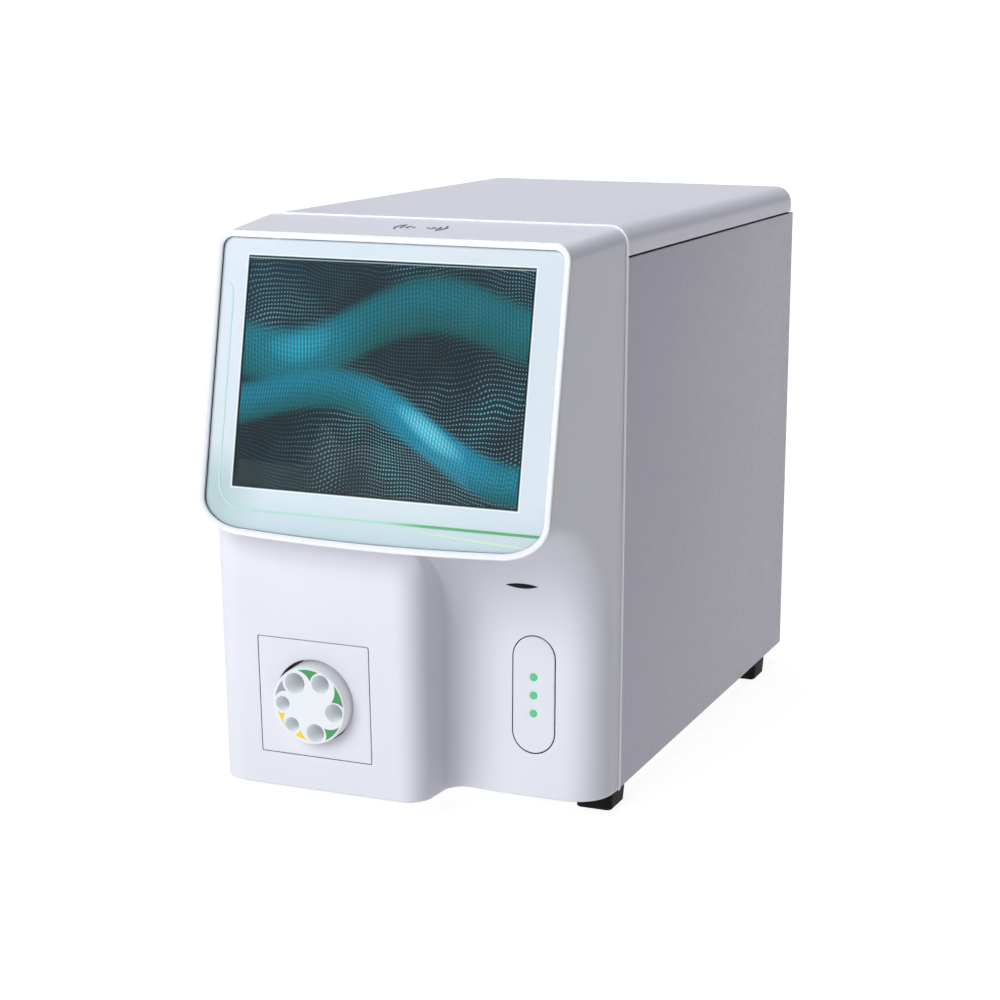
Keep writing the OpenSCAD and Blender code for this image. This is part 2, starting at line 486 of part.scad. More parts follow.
module syringe_plungers() color([0.55, 0.56, 0.58]) seam() difference() {
  union() {
    for (y = [128, 172]) translate([sy_x, y, 108]) cylinder(r = 5, h = 60);
    box(sy_x - 9, 118, 98, sy_x + 9, 182, 109);
  }
  translate([sy_x, 150, 90]) cylinder(r = 4.06, h = 30);
}
module syringe_screw() color([0.62, 0.63, 0.65]) seam() translate([sy_x, 150, 46]) cylinder(r = 4, h = 102.8);
module syringe_motor() color([0.25, 0.26, 0.28]) seam() difference() {
  box(sy_x - 17.5, 132.5, 22, sy_x + 17.5, 167.5, 57.8);
  translate([sy_x, 150, 45]) cylinder(r = 4.06, h = 16);
}
module valve_bank() color([0.35, 0.40, 0.48]) seam() {
  box(1.1, 222, 150, 50, 322, 166);
  for (k = [0 : 4]) { translate([27, 232 + 20 * k, 165]) cylinder(r = 8, h = 26); translate([27, 232 + 20 * k, 190]) cylinder(r = 3, h = 5); }
}
module waste_chamber() color([0.84, 0.84, 0.78]) seam() translate([88, 340, 0]) {
  translate([0, 0, 2.1]) cylinder(r = 30, h = 110);
  translate([0, 0, 112]) cylinder(r = 22, h = 16);
  for (a = [0, 120, 240]) rotate(a) translate([11, 0, 127]) cylinder(r = 2.5, h = 10);
}
module run(p, q, r) translate(p) rotate([0, acos((q - p)[2] / norm(q - p)), atan2((q - p)[1], (q - p)[0])]) cylinder(r = r, h = norm(q - p));
module tube_run(v, r) { for (i = [0 : len(v) - 2]) run(v[i], v[i + 1], r); for (i = [1 : len(v) - 2]) translate(v[i]) sphere(r + 0.5); }
module tubing() color([0.88, 0.86, 0.74]) seam() {
  tube_run([[46, 56, 97.8], [46, 56, 80], [46, 205, 80], [46, 300, 140], [46, 300, 149.8]], 1.6);
  tube_run([[92, 56, 97.8], [92, 56, 70], [92, 250, 70], [99, 340, 150], [99, 340, 137.3]], 1.6);
  tube_run([[24, 128, 224.2], [24, 128, 246], [27, 232, 222], [27, 232, 195.2]], 1.6);
}

// ---------- electronics ----------
module optical_bench() color([0.30, 0.31, 0.34]) seam() {
  box(-126, 40, 192.1, -34, 226, 200);
  box(-118, 120, 199, -88, 216, 226);
  box(-112, 60, 199, -78, 104, 232);
  translate([-95, 103, 215]) rotate([-90, 0, 0]) cylinder(r = 7, h = 18);
  box(-70, 60, 199, -42, 130, 222);
  translate([-79, 82, 215]) rotate([0, 90, 0]) cylinder(r = 8, h = 12);
}
module main_board() color([0.08, 0.32, 0.18]) seam() {
  box(-13.6, 60, 205, -12, 340, 355);
  for (y = [70, 330]) for (z = [213, 347]) translate([-12.1, y, z]) rotate([0, 90, 0]) cylinder(r = 3, h = 11);
  box(-16, 90, 250, -13.5, 130, 290);
  box(-17, 160, 230, -13.5, 185, 255);
  box(-24, 200, 330, -13.5, 320, 345);
  for (k = [0 : 5]) box(-15, 200 + 18 * k, 240, -13.5, 210 + 18 * k, 262);
}
module power_supply() color([0.66, 0.67, 0.69]) seam() difference() {
  box(-117, 210, 2.1, -28, 390, 48);
  for (k = [0 : 9]) box(-110, 226 + 15 * k, 40, -46, 231 + 15 * k, 52);
}
module fan_frame() color([0.10, 0.10, 0.11]) on_rear(fan_x, fan_z) {
  difference() {
    box(-40, -40, 2.2, 40, 40, 27.2);
    translate([0, 0, 1]) cylinder(r = 37.5, h = 30, $fn = 72);
    for (x = [-35.5, 35.5]) for (y = [-35.5, 35.5]) translate([x, y, 1]) cylinder(r = 2.2, h = 30, $fn = 24);
  }
  difference() {
    union() { translate([0, 0, 23.2]) cylinder(r = 13, h = 4); for (a = [45, 135]) rotate(a) box(-39, -2, 24.2, 39, 2, 27.2); }
    translate([0, 0, 20]) cylinder(r = 2.06, h = 5.5, $fn = 32);
  }
}
module fan_rotor() color([0.12, 0.12, 0.13]) on_rear(fan_x, fan_z) {
  translate([0, 0, 5]) cylinder(r = 13, h = 17.5);
  translate([0, 0, 21]) cylinder(r = 2, h = 4, $fn = 32);
  for (k = [0 : 6]) rotate(360 / 7 * k) translate([11, 0, 13.5]) rotate([38, 0, 0]) translate([0, -10, -0.8]) cube([24.5, 20, 1.6]);
}
module fan_grille() color(metal) on_rear(fan_x, fan_z) translate([0, 0, -2.2]) difference() {
  union() {
    for (r = [9, 17, 25, 33, 41]) difference() { cylinder(r = r + 0.9, h = 1.8, $fn = 72); translate([0, 0, -1]) cylinder(r = r - 0.9, h = 4, $fn = 72); }
    for (a = [45, 135]) rotate(a) box(-50, -0.9, 0, 50, 0.9, 1.8);
    for (a = [45, 135, 225, 315]) rotate(a) translate([50.2, 0, 0]) cylinder(r = 4.5, h = 2.1);
  }
  for (a = [45, 135, 225, 315]) rotate(a) translate([50.2, 0, -1]) cylinder(r = 2, h = 5, $fn = 24);
}
module inlet_housing() color([0.09, 0.09, 0.10]) on_rear(inl_x, inl_z) difference() {
  union() { box(-16, -31, -2.2, 16, 31, -0.1); box(-13, -28, -0.2, 13, 28, 24); }
  box(-12, -24, -4, 12, -4, 18);
  box(-10.6, 6, -4, 10.6, 22, 14);
  translate([-12, 14, 3]) rotate([0, 90, 0]) cylinder(r = 2.06, h = 24, $fn = 32);
}
module inlet_pins() color([0.85, 0.80, 0.60]) on_rear(inl_x, inl_z) {
  for (x = [-7, 7]) box(x - 1, -15.5, 4, x + 1, -11.5, 18);
  box(-1, -20.5, 4, 1, -16.5, 18);
}
module power_rocker() color([0.14, 0.14, 0.15]) on_rear(inl_x, inl_z + 14) translate([0, 0, 3]) rotate([7, 0, 0]) rotate([0, 90, 0]) {
  translate([0, 0, -10]) linear_extrude(20) polygon([[5.6, 6.7], [3.8, 0], [5.6, -6.7], [-6, -5], [-6, 5]]);
  translate([0, 0, -11.8]) cylinder(r = 2, h = 23.6, $fn = 32);
}
module io_ports() color([0.60, 0.61, 0.64]) on_rear(io_x, io_z) difference() {
  box(-30.6, -8.6, -0.6, 30.6, 8.6, 18);
  box(-27, -6, -2, -12, 6, 13);
  box(-7, -3, -2, 7, 3, 13);
  box(13, -3, -2, 27, 3, 13);
}
module reagent_fittings() color([0.88, 0.88, 0.86]) for (x = fit_x) on_rear(x, fit_z) difference() {
  union() {
    translate([0, 0, -3.1]) cylinder(r = 7.5, h = 3);
    translate([0, 0, 2.1]) cylinder(r = 7.5, h = 4);
    translate([0, 0, -4]) cylinder(r = 4, h = 12);
    translate([0, 0, -rear_out]) cylinder(r1 = 2.4, r2 = 3.4, h = 5);
    translate([0, 0, -9.1]) cylinder(r = 2.8, h = 6);
    translate([0, 0, 7]) cylinder(r = 2.8, h = 9);
  }
  translate([0, 0, -20]) cylinder(r = 1.6, h = 60, $fn = 24);
}

front_cover();
display_bezel();
cover_glass();
border_print();
green_line_print();
lcd_panel();
lcd_module();
display_bracket();
reader_board();
reader_marks();
station_plate();
tube_wheel();
wheel_marks_green();
wheel_marks_yellow();
wheel_mark_grey();
wheel_shaft();
station_frame();
station_motor();
pierce_needle();
pierce_carriage();
aspirate_button();
button_lights();
button_housing();
button_switch();
probe();
probe_carriage();
probe_frame();
probe_screw();
probe_motor();
wash_block();
top_cover();
left_side_panel();
right_side_panel();
rear_panel();
base_plate();
feet();
foot_screws();
panel_screws();
chassis_frame();
counting_baths();
bath_bracket();
syringe_frame();
syringe_barrels();
syringe_plungers();
syringe_screw();
syringe_motor();
valve_bank();
waste_chamber();
tubing();
optical_bench();
main_board();
power_supply();
fan_frame();
fan_rotor();
fan_grille();
inlet_housing();
inlet_pins();
power_rocker();
io_ports();
reagent_fittings();
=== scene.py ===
import json
import math

import bmesh
import bpy
import numpy as np
from mathutils import Matrix, Vector
from mathutils.geometry import delaunay_2d_cdt


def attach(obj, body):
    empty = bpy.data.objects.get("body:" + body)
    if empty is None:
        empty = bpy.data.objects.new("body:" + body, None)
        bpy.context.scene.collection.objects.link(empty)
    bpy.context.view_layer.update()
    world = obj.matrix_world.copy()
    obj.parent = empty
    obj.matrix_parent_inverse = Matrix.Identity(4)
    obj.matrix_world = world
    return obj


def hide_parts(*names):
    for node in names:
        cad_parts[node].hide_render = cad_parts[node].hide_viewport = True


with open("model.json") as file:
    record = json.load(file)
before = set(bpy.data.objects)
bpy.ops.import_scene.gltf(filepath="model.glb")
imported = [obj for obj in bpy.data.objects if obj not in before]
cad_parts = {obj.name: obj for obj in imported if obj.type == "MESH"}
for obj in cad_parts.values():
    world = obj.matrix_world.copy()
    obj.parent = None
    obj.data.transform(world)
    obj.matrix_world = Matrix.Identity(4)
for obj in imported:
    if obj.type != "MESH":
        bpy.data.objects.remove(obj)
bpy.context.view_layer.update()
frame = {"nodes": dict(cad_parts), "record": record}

# ---------------------------------------------------------------- sizes, millimetres, as in the CAD source
BODY_W, BODY_D, BODY_H, FOOT_H, TOP_H = 280.0, 426.0, 400.0, 15.0, 21.4
TILT, SCR_OUT, LCD_W, LCD_H, RIM_W = 11.3, 99.7, 211.2, 158.4, 4.6
BLOCK_OUT, LEAN, PLATE_W, OPEN_R, WHEEL_R, WHEEL_OUT = 86.5, 3.05, 85.6, 30.0, 28.4, 10.0
RECESS_OUT, BUT_W, BUT_H, SLIT_W, SLIT_D = 39.8, 31.2, 84.6, 24.5, 3.0
HW, SCR_Z, TAPER = BODY_W / 2, BODY_H - 99.4, 9.7
RIM_HW, RIM_TOP = HW - TAPER, 96.0
RIM_CX = RIM_HW - 35.3
SIDE_TOP = BODY_H - TOP_H


def rad(a):
    return math.radians(a)


ST, CT, TT = math.sin(rad(TILT)), math.cos(rad(TILT)), math.tan(rad(TILT))
OVER = SCR_OUT + 115 * ST + 2.1
Y_SEAM = -(OVER + BODY_D + 14) / 2 + OVER
ST_X, ST_Z = -56.3, 68.6
BT_X, BT_Z = 89.2, 75.3
PR_X, PR_Y = 85.0, -52.7
Z_LO = SCR_Z - 90.5 * CT


def trans(x, y, z):
    return Matrix.Translation((x, y, z))


def rx(a):
    return Matrix.Rotation(rad(a), 4, "X")


def rz(a):
    return Matrix.Rotation(rad(a), 4, "Z")


SEAM = trans(0, Y_SEAM, FOOT_H)
SCREEN = SEAM @ trans(0, -SCR_OUT, SCR_Z) @ rx(90 - TILT)
STATION = SEAM @ trans(ST_X, -BLOCK_OUT - ST_Z * math.tan(rad(LEAN)), ST_Z) @ rx(90 + LEAN)
RECESS = SEAM @ trans(BT_X, -RECESS_OUT, BT_Z) @ rx(90)


def in_metres(m):
    out = m.copy()
    out.translation = m.translation * 0.001
    return out


# ---------------------------------------------------------------- mesh building
def mix(a, b, t):
    return a * (1 - t) + b * t


class Build:
    """Points in millimetres in one of the frames above, and faces."""

    def __init__(self):
        self.v, self.f, self.inner = [], [], []

    def add(self, pts):
        first = len(self.v)
        self.v.extend([(float(p[0]), float(p[1]), float(p[2])) for p in pts])
        return list(range(first, len(self.v)))

    def ring(self, pts2, z):
        return self.add([(p[0], p[1], z) for p in pts2])

    def band(self, a, b, closed=True):
        """Quads between two rows of points, a first."""
        n = len(a)
        for i in range(n if closed else n - 1):
            j = (i + 1) % n
            self.f.append((a[i], a[j], b[j], b[i]))

    def bands(self, rows, closed=True):
        for a, b in zip(rows, rows[1:]):
            self.band(a, b, closed)

    def face(self, loop):
        self.f.append(tuple(loop))

    def inner_from(self, first):
        """The faces made since the given count take the second material."""
        self.inner.append((first, len(self.f)))

    def fill(self, outer, holes=(), extra=(), to3=None, flat=(0, 1)):
        """Triangles between an outer loop and the hole loops, all given as point indices, with extra points inside."""
        loops = [outer] + list(holes)
        pts, ids, edges = [], [], []
        for loop in loops:
            base = len(pts)
            for k, i in enumerate(loop):
                p = self.v[i]
                pts.append(Vector((p[flat[0]], p[flat[1]])))
                ids.append(i)
                edges.append((base + k, base + (k + 1) % len(loop)))
        for p in extra:
            pts.append(Vector((p[0], p[1])))
            ids.append(None)
        out = delaunay_2d_cdt(pts, edges, [], 0, 1e-6, True)
        where = []
        for k, origin in enumerate(out[3]):
            known = [ids[o] for o in origin if ids[o] is not None]
            if known:
                where.append(known[0])
            else:
                q = out[0][k]
                if to3 is None:
                    p = list(self.v[outer[0]])
                    p[flat[0]], p[flat[1]] = q.x, q.y
                else:
                    p = to3(q.x, q.y)
                where.append(self.add([p])[0])
        polys = [np.array([[self.v[i][flat[0]], self.v[i][flat[1]]] for i in loop]) for loop in loops]
        for tri in out[2]:
            c = sum((out[0][i] for i in tri), Vector((0, 0))) / len(tri)
            if inside(polys[0], c) and not any(inside(h, c) for h in polys[1:]):
                self.f.append(tuple(where[i] for i in tri))

    def make(self, name, place, body, nodes=(), material=None, angle=32, outward=True, merge=True, thick=0, second=None):
        mesh = bpy.data.meshes.new(name)
        mesh.from_pydata([(x * 0.001, y * 0.001, z * 0.001) for x, y, z in self.v], [], self.f)
        kind = np.zeros(len(self.f), np.int32)
        for a, b in self.inner:
            kind[a:b] = 1
        mesh.polygons.foreach_set("material_index", kind)
        bm = bmesh.new()
        bm.from_mesh(mesh)
        if merge:
            bmesh.ops.remove_doubles(bm, verts=bm.verts, dist=2e-6)
            bmesh.ops.dissolve_degenerate(bm, dist=1e-7, edges=bm.edges)
        loose = [v for v in bm.verts if not v.link_faces]
        bmesh.ops.delete(bm, geom=loose, context="VERTS")
        if outward:
            bmesh.ops.recalc_face_normals(bm, faces=bm.faces)
        bm.to_mesh(mesh)
        bm.free()
        obj = bpy.data.objects.new(name, mesh)
        bpy.context.scene.collection.objects.link(obj)
        obj.matrix_world = in_metres(place)
        if thick:
            mod = obj.modifiers.new("wall", "SOLIDIFY")
            mod.thickness = thick * 0.001
            mod.offset = -1
            mod.use_rim = True
        shade(obj, angle)
        kind = np.zeros(len(mesh.polygons), np.int32)
        mesh.polygons.foreach_get("material_index", kind)
        dress(obj, body, nodes, material)
        if second is not None:
            mesh.materials.append(second)
            mesh.polygons.foreach_set("material_index", kind)
        return obj


def inside(poly, p):
    x, y = p[0], p[1]
    a, b = poly, np.roll(poly, -1, axis=0)
    cross = (a[:, 1] > y) != (b[:, 1] > y)
    with np.errstate(divide="ignore", invalid="ignore"):
        at = (b[:, 0] - a[:, 0]) * (y - a[:, 1]) / (b[:, 1] - a[:, 1]) + a[:, 0]
    return bool(np.count_nonzero(cross & (x < at)) % 2)


def shade(obj, angle=32):
    mesh = obj.data
    mesh.polygons.foreach_set("use_smooth", [True] * len(mesh.polygons))
    mesh.set_sharp_from_angle(angle=rad(angle))
    mesh.update()


def dress(obj, body, nodes=(), material=None):
    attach(obj, body)
    if nodes:
        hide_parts(*nodes)
    if material is not None:
        obj.data.materials.clear()
        obj.data.materials.append(material)


def circle(r, n=96, cx=0.0, cy=0.0, start=0.0):
    return [(cx + r * math.cos(start + 2 * math.pi * k / n), cy + r * math.sin(start + 2 * math.pi * k / n)) for k in range(n)]


def stadium(w, h, n=24):
    """Counter-clockwise outline of a capsule, the long way up."""
    r, c = w / 2, (h - w) / 2
    pts = [(r * math.cos(math.pi * k / n), c + r * math.sin(math.pi * k / n)) for k in range(n + 1)]
    pts += [(-r, mix(c, -c, k / 24)) for k in range(1, 24)]
    pts += [(-r * math.cos(math.pi * k / n), -c - r * math.sin(math.pi * k / n)) for k in range(n + 1)]
    pts += [(r, mix(-c, c, k / 24)) for k in range(1, 24)]
    return pts


def rounded_box(w, h, r, n=6, step=3.0):
    """Counter-clockwise outline, with points along the sides, as many for any radius."""
    pts = []
    for k, (sx, sy) in enumerate([(1, 1), (-1, 1), (-1, -1), (1, -1)]):
        cx, cy = sx * (w / 2 - r), sy * (h / 2 - r)
        arc = [(cx + r * math.cos(rad(90 * k + 90 * j / n)), cy + r * math.sin(rad(90 * k + 90 * j / n))) for j in range(n + 1)]
        if pts:
            pts += between(pts[-1], arc[0], w if k % 2 else h, step)
        pts += arc
    return pts + between(pts[-1], pts[0], h, step)


def between(a, b, length, step):
    n = max(1, int(length / step))
    return [(mix(a[0], b[0], k / n), mix(a[1], b[1], k / n)) for k in range(1, n)]


def lens(w, h, n=24):
    """Counter-clockwise outline, pointed left and right."""
    r = (w * w / 4 + h * h / 4) / h
    half = math.asin(w / 2 / r)
    top = [(r * math.sin(half * (1 - 2 * k / n)), r * math.cos(half * (1 - 2 * k / n)) - (r - h / 2)) for k in range(n)]
    return top + [(-x, -y) for x, y in top]


def inset(loop, g):
    """A counter-clockwise closed outline moved inwards by g."""
    p = np.array(loop, float)
    e = np.roll(p, -1, axis=0) - p
    e /= np.maximum(np.linalg.norm(e, axis=1, keepdims=True), 1e-9)
    n = np.stack([-e[:, 1], e[:, 0]], axis=1)
    m = n + np.roll(n, 1, axis=0)
    m /= np.maximum((m * m).sum(1, keepdims=True), 1e-9) / 2
    return [tuple(q) for q in p + m * g]


def edge_arc(r, n=5):
    """Steps (inwards, down) of a rounded edge, from the top face out to the side."""
    return [(r * (1 - math.sin(rad(90 * k / n))), r * (1 - math.cos(rad(90 * k / n)))) for k in range(n + 1)]


# ---------------------------------------------------------------- materials
class Nodes:
    def __init__(self, name):
        self.mat = bpy.data.materials.new(name)
        self.mat.use_nodes = True
        self.t = self.mat.node_tree
        self.t.nodes.clear()
        self.out = self.t.nodes.new("ShaderNodeOutputMaterial")

    def new(self, kind, **props):
        n = self.t.nodes.new("ShaderNode" + kind)
        for k, v in props.items():
            setattr(n, k, v)
        return n

    def link(self, a, b):
        self.t.links.new(a, b)

    def put(self, socket, value):
        if hasattr(value, "is_output"):
            self.link(value, socket)
        else:
            socket.default_value = value

    def math(self, op, a, b=None, c=None, clamp=False):
        n = self.new("Math", operation=op, use_clamp=clamp)
        for s, v in zip(n.inputs, (a, b, c)):
            if v is not None:
                self.put(s, v)
        return n.outputs[0]

    def ramp(self, fac, stops, interp="LINEAR"):
        n = self.new("ValToRGB")
        n.color_ramp.interpolation = interp
        while len(n.color_ramp.elements) < len(stops):
            n.color_ramp.elements.new(0.5)
        for e, (pos, col) in zip(n.color_ramp.elements, stops):
            e.position = pos
            e.color = (*col, 1) if len(col) == 3 else col
        self.link(fac, n.inputs[0])
        return n.outputs[0]

    def step(self, v, lo, hi, a=0.0, b=1.0, smooth=True):
        n = self.new("MapRange", interpolation_type="SMOOTHSTEP" if smooth else "LINEAR")
        self.put(n.inputs["Value"], v)
        n.inputs["From Min"].default_value, n.inputs["From Max"].default_value = lo, hi
        n.inputs["To Min"].default_value, n.inputs["To Max"].default_value = a, b
        return n.outputs[0]

    def object_coord(self):
        return self.new("TexCoord").outputs["Object"]

    def new_length(self, coord):
        n = self.new("VectorMath", operation="LENGTH")
        self.link(coord, n.inputs[0])
        return n.outputs["Value"]

    def noise(self, coord, scale, detail=2.0, rough=0.5, out="Fac"):
        n = self.new("TexNoise")
        self.link(coord, n.inputs["Vector"])
        n.inputs["Scale"].default_value = scale
        n.inputs["Detail"].default_value = detail
        n.inputs["Roughness"].default_value = rough
        return n.outputs[out]

    def mixc(self, fac, a, b):
        n = self.new("Mix", data_type="RGBA")
        self.put(n.inputs[0], fac)
        self.put(n.inputs[6], a if hasattr(a, "is_output") else (*a, 1))
        self.put(n.inputs[7], b if hasattr(b, "is_output") else (*b, 1))
        return n.outputs[2]

    def principled(self, **kw):
        n = self.new("BsdfPrincipled")
        for k, v in kw.items():
            self.put(n.inputs[k.replace("_", " ")], v)
        self.link(n.outputs[0], self.out.inputs[0])
        return n

    def bump(self, height, strength, distance):
        n = self.new("Bump")
        n.inputs["Strength"].default_value = strength
        n.inputs["Distance"].default_value = distance
        self.link(height, n.inputs["Height"])
        return n.outputs[0]


def moulded(name, colour, rough=0.42, vary=0.02, grain=2600, depth=0.00003, strength=0.35, specular=0.5, coat=0.0, subsurface=0.0, glow=0.0):
    """Injection-moulded plastic: fine spark-eroded grain, with slow drift in tone and gloss; with glow it also emits
    its own colour, a painted glow that stands in for light bounced between white parts.
    """
    m = Nodes(name)
    c = m.object_coord()
    slow = m.noise(c, 9, 3)
    fine = m.noise(c, grain, 2, 0.6)
    col = m.ramp(slow, [(0.3, tuple(x * (1 - vary) for x in colour)), (0.7, tuple(min(1, x * (1 + vary)) for x in colour))])
    gloss = m.step(m.noise(c, 320, 3), 0.3, 0.7, rough - 0.04, rough + 0.05)
    height = m.math("ADD", m.math("MULTIPLY", fine, 0.8), m.math("MULTIPLY", m.noise(c, grain * 0.31, 1), 0.4))
    p = m.principled(Roughness=gloss, Base_Color=col, Normal=m.bump(height, strength, depth))
    p.inputs["Specular IOR Level"].default_value = specular
    if coat:
        p.inputs["Coat Weight"].default_value = coat
        p.inputs["Coat Roughness"].default_value = 0.08
    if subsurface:
        p.inputs["Subsurface Weight"].default_value = subsurface
        p.inputs["Subsurface Scale"].default_value = 0.002
    # painted glow: the colour is also emitted, standing in for bounce light, though the part is no lamp
    if glow:
        m.link(col, p.inputs["Emission Color"])
        p.inputs["Emission Strength"].default_value = glow
    return m.mat


def shell_plastic(name, colour, rough, lip_highlight_colour):
    """The cover's plastic, with a painted highlight: a little lighter on the lip along its rear seam."""
    m = Nodes(name)
    c = m.object_coord()
    sep = m.new("SeparateXYZ")
    m.link(c, sep.inputs[0])
    fine = m.noise(c, 2600, 2, 0.6)
    col = m.ramp(m.noise(c, 9, 3), [(0.3, tuple(x * 0.98 for x in colour)), (0.7, tuple(x * 1.02 for x in colour))])
    # painted highlight: the band of the seam lip is made lighter
    lip_highlight_mask = m.step(m.math("MULTIPLY", sep.outputs[1], 1000), -2.75, -2.6)
    col = m.mixc(lip_highlight_mask, col, lip_highlight_colour)
    gloss = m.step(m.noise(c, 320, 3), 0.3, 0.7, rough - 0.04, rough + 0.05)
    height = m.math("ADD", m.math("MULTIPLY", fine, 0.8), m.math("MULTIPLY", m.noise(c, 806, 1), 0.4))
    m.principled(Roughness=gloss, Base_Color=col, Normal=m.bump(height, 0.35, 0.00003))
    return m.mat


def coated_sheet(name, colour, rough=0.45):
    """Powder-coated steel sheet: a low orange peel under a fine grain."""
    m = Nodes(name)
    c = m.object_coord()
    peel = m.noise(c, 620, 2, 0.45)
    col = m.ramp(m.noise(c, 6, 3), [(0.3, tuple(x * 0.985 for x in colour)), (0.7, tuple(min(1, x * 1.012) for x in colour))])
    gloss = m.step(m.noise(c, 240, 3), 0.3, 0.7, rough - 0.05, rough + 0.06)
    height = m.math("ADD", peel, m.math("MULTIPLY", m.noise(c, 3600, 1), 0.25))
    m.principled(Roughness=gloss, Base_Color=col, Normal=m.bump(height, 0.3, 0.00005))
    return m.mat


def metal(name, colour, rough=0.3, stretch=(1, 1, 40), scale=160, bump=0.15):
    """Rolled or turned metal with fine directional marks."""
    m = Nodes(name)
    mp = m.new("Mapping")
    m.link(m.object_coord(), mp.inputs["Vector"])
    mp.inputs["Scale"].default_value = stretch
    lines = m.noise(mp.outputs[0], scale, 4, 0.6)
    blot = m.noise(m.object_coord(), 40, 3)
    col = m.ramp(blot, [(0.25, tuple(x * 0.9 for x in colour)), (0.75, tuple(min(1, x * 1.05) for x in colour))])
    gloss = m.step(lines, 0.25, 0.75, rough - 0.07, rough + 0.1)
    m.principled(Metallic=1.0, Roughness=gloss, Base_Color=col, Normal=m.bump(lines, bump, 0.00004))
    return m.mat


def rubber(name, colour):
    m = Nodes(name)
    c = m.object_coord()
    col = m.ramp(m.noise(c, 90, 4), [(0.3, tuple(x * 0.7 for x in colour)), (0.75, tuple(x * 1.6 for x in colour))])
    gloss = m.step(m.noise(c, 500, 3), 0.3, 0.7, 0.5, 0.72)
    p = m.principled(Roughness=gloss, Base_Color=col, Normal=m.bump(m.noise(c, 1800, 3, 0.6), 0.5, 0.00008))
    p.inputs["Specular IOR Level"].default_value = 0.12
    return m.mat


def board(name):
    """Circuit board: solder mask over a faint track pattern."""
    m = Nodes(name)
    c = m.object_coord()
    br = m.new("TexBrick")
    m.link(c, br.inputs["Vector"])
    br.inputs["Scale"].default_value = 220
    br.inputs["Mortar Size"].default_value = 0.06
    br.inputs["Color1"].default_value = (0.012, 0.10, 0.045, 1)
    br.inputs["Color2"].default_value = (0.010, 0.085, 0.040, 1)
    br.inputs["Mortar"].default_value = (0.03, 0.19, 0.09, 1)
    gloss = m.step(m.noise(c, 200, 2), 0.3, 0.7, 0.25, 0.4)
    m.principled(Roughness=gloss, Base_Color=br.outputs["Color"], Normal=m.bump(br.outputs["Fac"], 0.3, 0.00005))
    return m.mat


def clear(name, tint, rough=0.12, alpha=0.45):
    m = Nodes(name)
    c = m.object_coord()
    col = m.ramp(m.noise(c, 30, 2), [(0.3, tuple(x * 0.96 for x in tint)), (0.7, tint)])
    gloss = m.step(m.noise(c, 300, 2), 0.3, 0.7, rough, rough + 0.08)
    p = m.principled(Roughness=gloss, Base_Color=col, Normal=m.bump(m.noise(c, 500, 2), 0.1, 0.00005))
    p.inputs["Alpha"].default_value = alpha
    return m.mat


def glass_sheet(name):
    """Toughened cover glass: clear, with its reflection and the least unevenness."""
    m = Nodes(name)
    c = m.object_coord()
    fr = m.new("LayerWeight")
    fr.inputs["Blend"].default_value = 0.5
    amount = m.math("MULTIPLY_ADD", m.math("POWER", fr.outputs["Facing"], 5.0), 0.9, 0.012)
    gl = m.new("BsdfGlossy")
    m.link(m.step(m.noise(c, 60, 3), 0.3, 0.7, 0.015, 0.05), gl.inputs["Roughness"])
    m.link(m.ramp(m.noise(c, 12, 2), [(0.3, (0.96, 0.99, 0.99)), (0.7, (1.0, 1.0, 1.0))]), gl.inputs["Color"])
    nb = m.bump(m.noise(c, 18, 1), 0.01, 0.00005)
    m.link(nb, gl.inputs["Normal"])
    m.link(nb, fr.inputs["Normal"])
    tr = m.new("BsdfTransparent")
    m.link(m.ramp(m.noise(c, 10, 2), [(0.3, (0.985, 0.997, 0.995)), (0.7, (0.99, 0.998, 0.997))]), tr.inputs["Color"])
    mx = m.new("MixShader")
    m.link(amount, mx.inputs[0])
    m.link(tr.outputs[0], mx.inputs[1])
    m.link(gl.outputs[0], mx.inputs[2])
    m.link(mx.outputs[0], m.out.inputs[0])
    return m.mat


def border_ink(name):
    """Pale print behind the glass, with a silver step round the display window and a thin second line; painted shade
    darkens it towards the bottom and round the lower-left corner.
    """
    m = Nodes(name)
    sep = m.new("SeparateXYZ")
    c = m.object_coord()
    m.link(c, sep.inputs[0])
    x, y = m.math("MULTIPLY", sep.outputs[0], 1000), m.math("MULTIPLY", sep.outputs[1], 1000)
    dx = m.math("SUBTRACT", m.math("ABSOLUTE", x), LCD_W / 2)
    dy = m.math("SUBTRACT", m.math("ABSOLUTE", y), LCD_H / 2)
    d = m.math("MAXIMUM", dx, dy)
    base = m.ramp(m.noise(c, 5, 3), [(0.3, (0.495, 0.515, 0.585)), (0.7, (0.515, 0.535, 0.605))])
    # painted shade: darker towards the bottom edge of the border
    low = m.step(y, -112, -70)
    base = m.mixc(low, (0.40, 0.465, 0.52), base)
    # painted shade: darker again round the lower-left corner
    ex, ey = m.math("ADD", x, 121), m.math("ADD", y, 88)
    corner = m.math("SQRT", m.math("ADD", m.math("MULTIPLY", ex, ex), m.math("MULTIPLY", ey, ey)))
    base = m.mixc(m.step(corner, 6, 46), (0.35, 0.42, 0.455), base)
    silver = m.mixc(m.step(d, 0.35, 0.75), (0.16, 0.20, 0.22), (0.68, 0.70, 0.74))
    col = m.mixc(m.step(d, 1.0, 1.5), silver, base)
    # thin yellow-green line under the green one, on the right
    line_y = m.math("MULTIPLY_ADD", x, -0.055, -97.2)
    off = m.math("ABSOLUTE", m.math("SUBTRACT", y, line_y))
    on = m.math("MULTIPLY", m.step(off, 0.30, 0.55, 1, 0), m.math("MULTIPLY", m.step(x, 26, 60), m.step(x, 116, 122, 1, 0)))
    col = m.mixc(on, col, (0.50, 0.61, 0.36))
    m.principled(Base_Color=col, Roughness=m.step(m.noise(c, 200, 2), 0.3, 0.7, 0.4, 0.5), Normal=m.bump(m.noise(c, 900, 2), 0.03, 0.00001))
    return m.mat


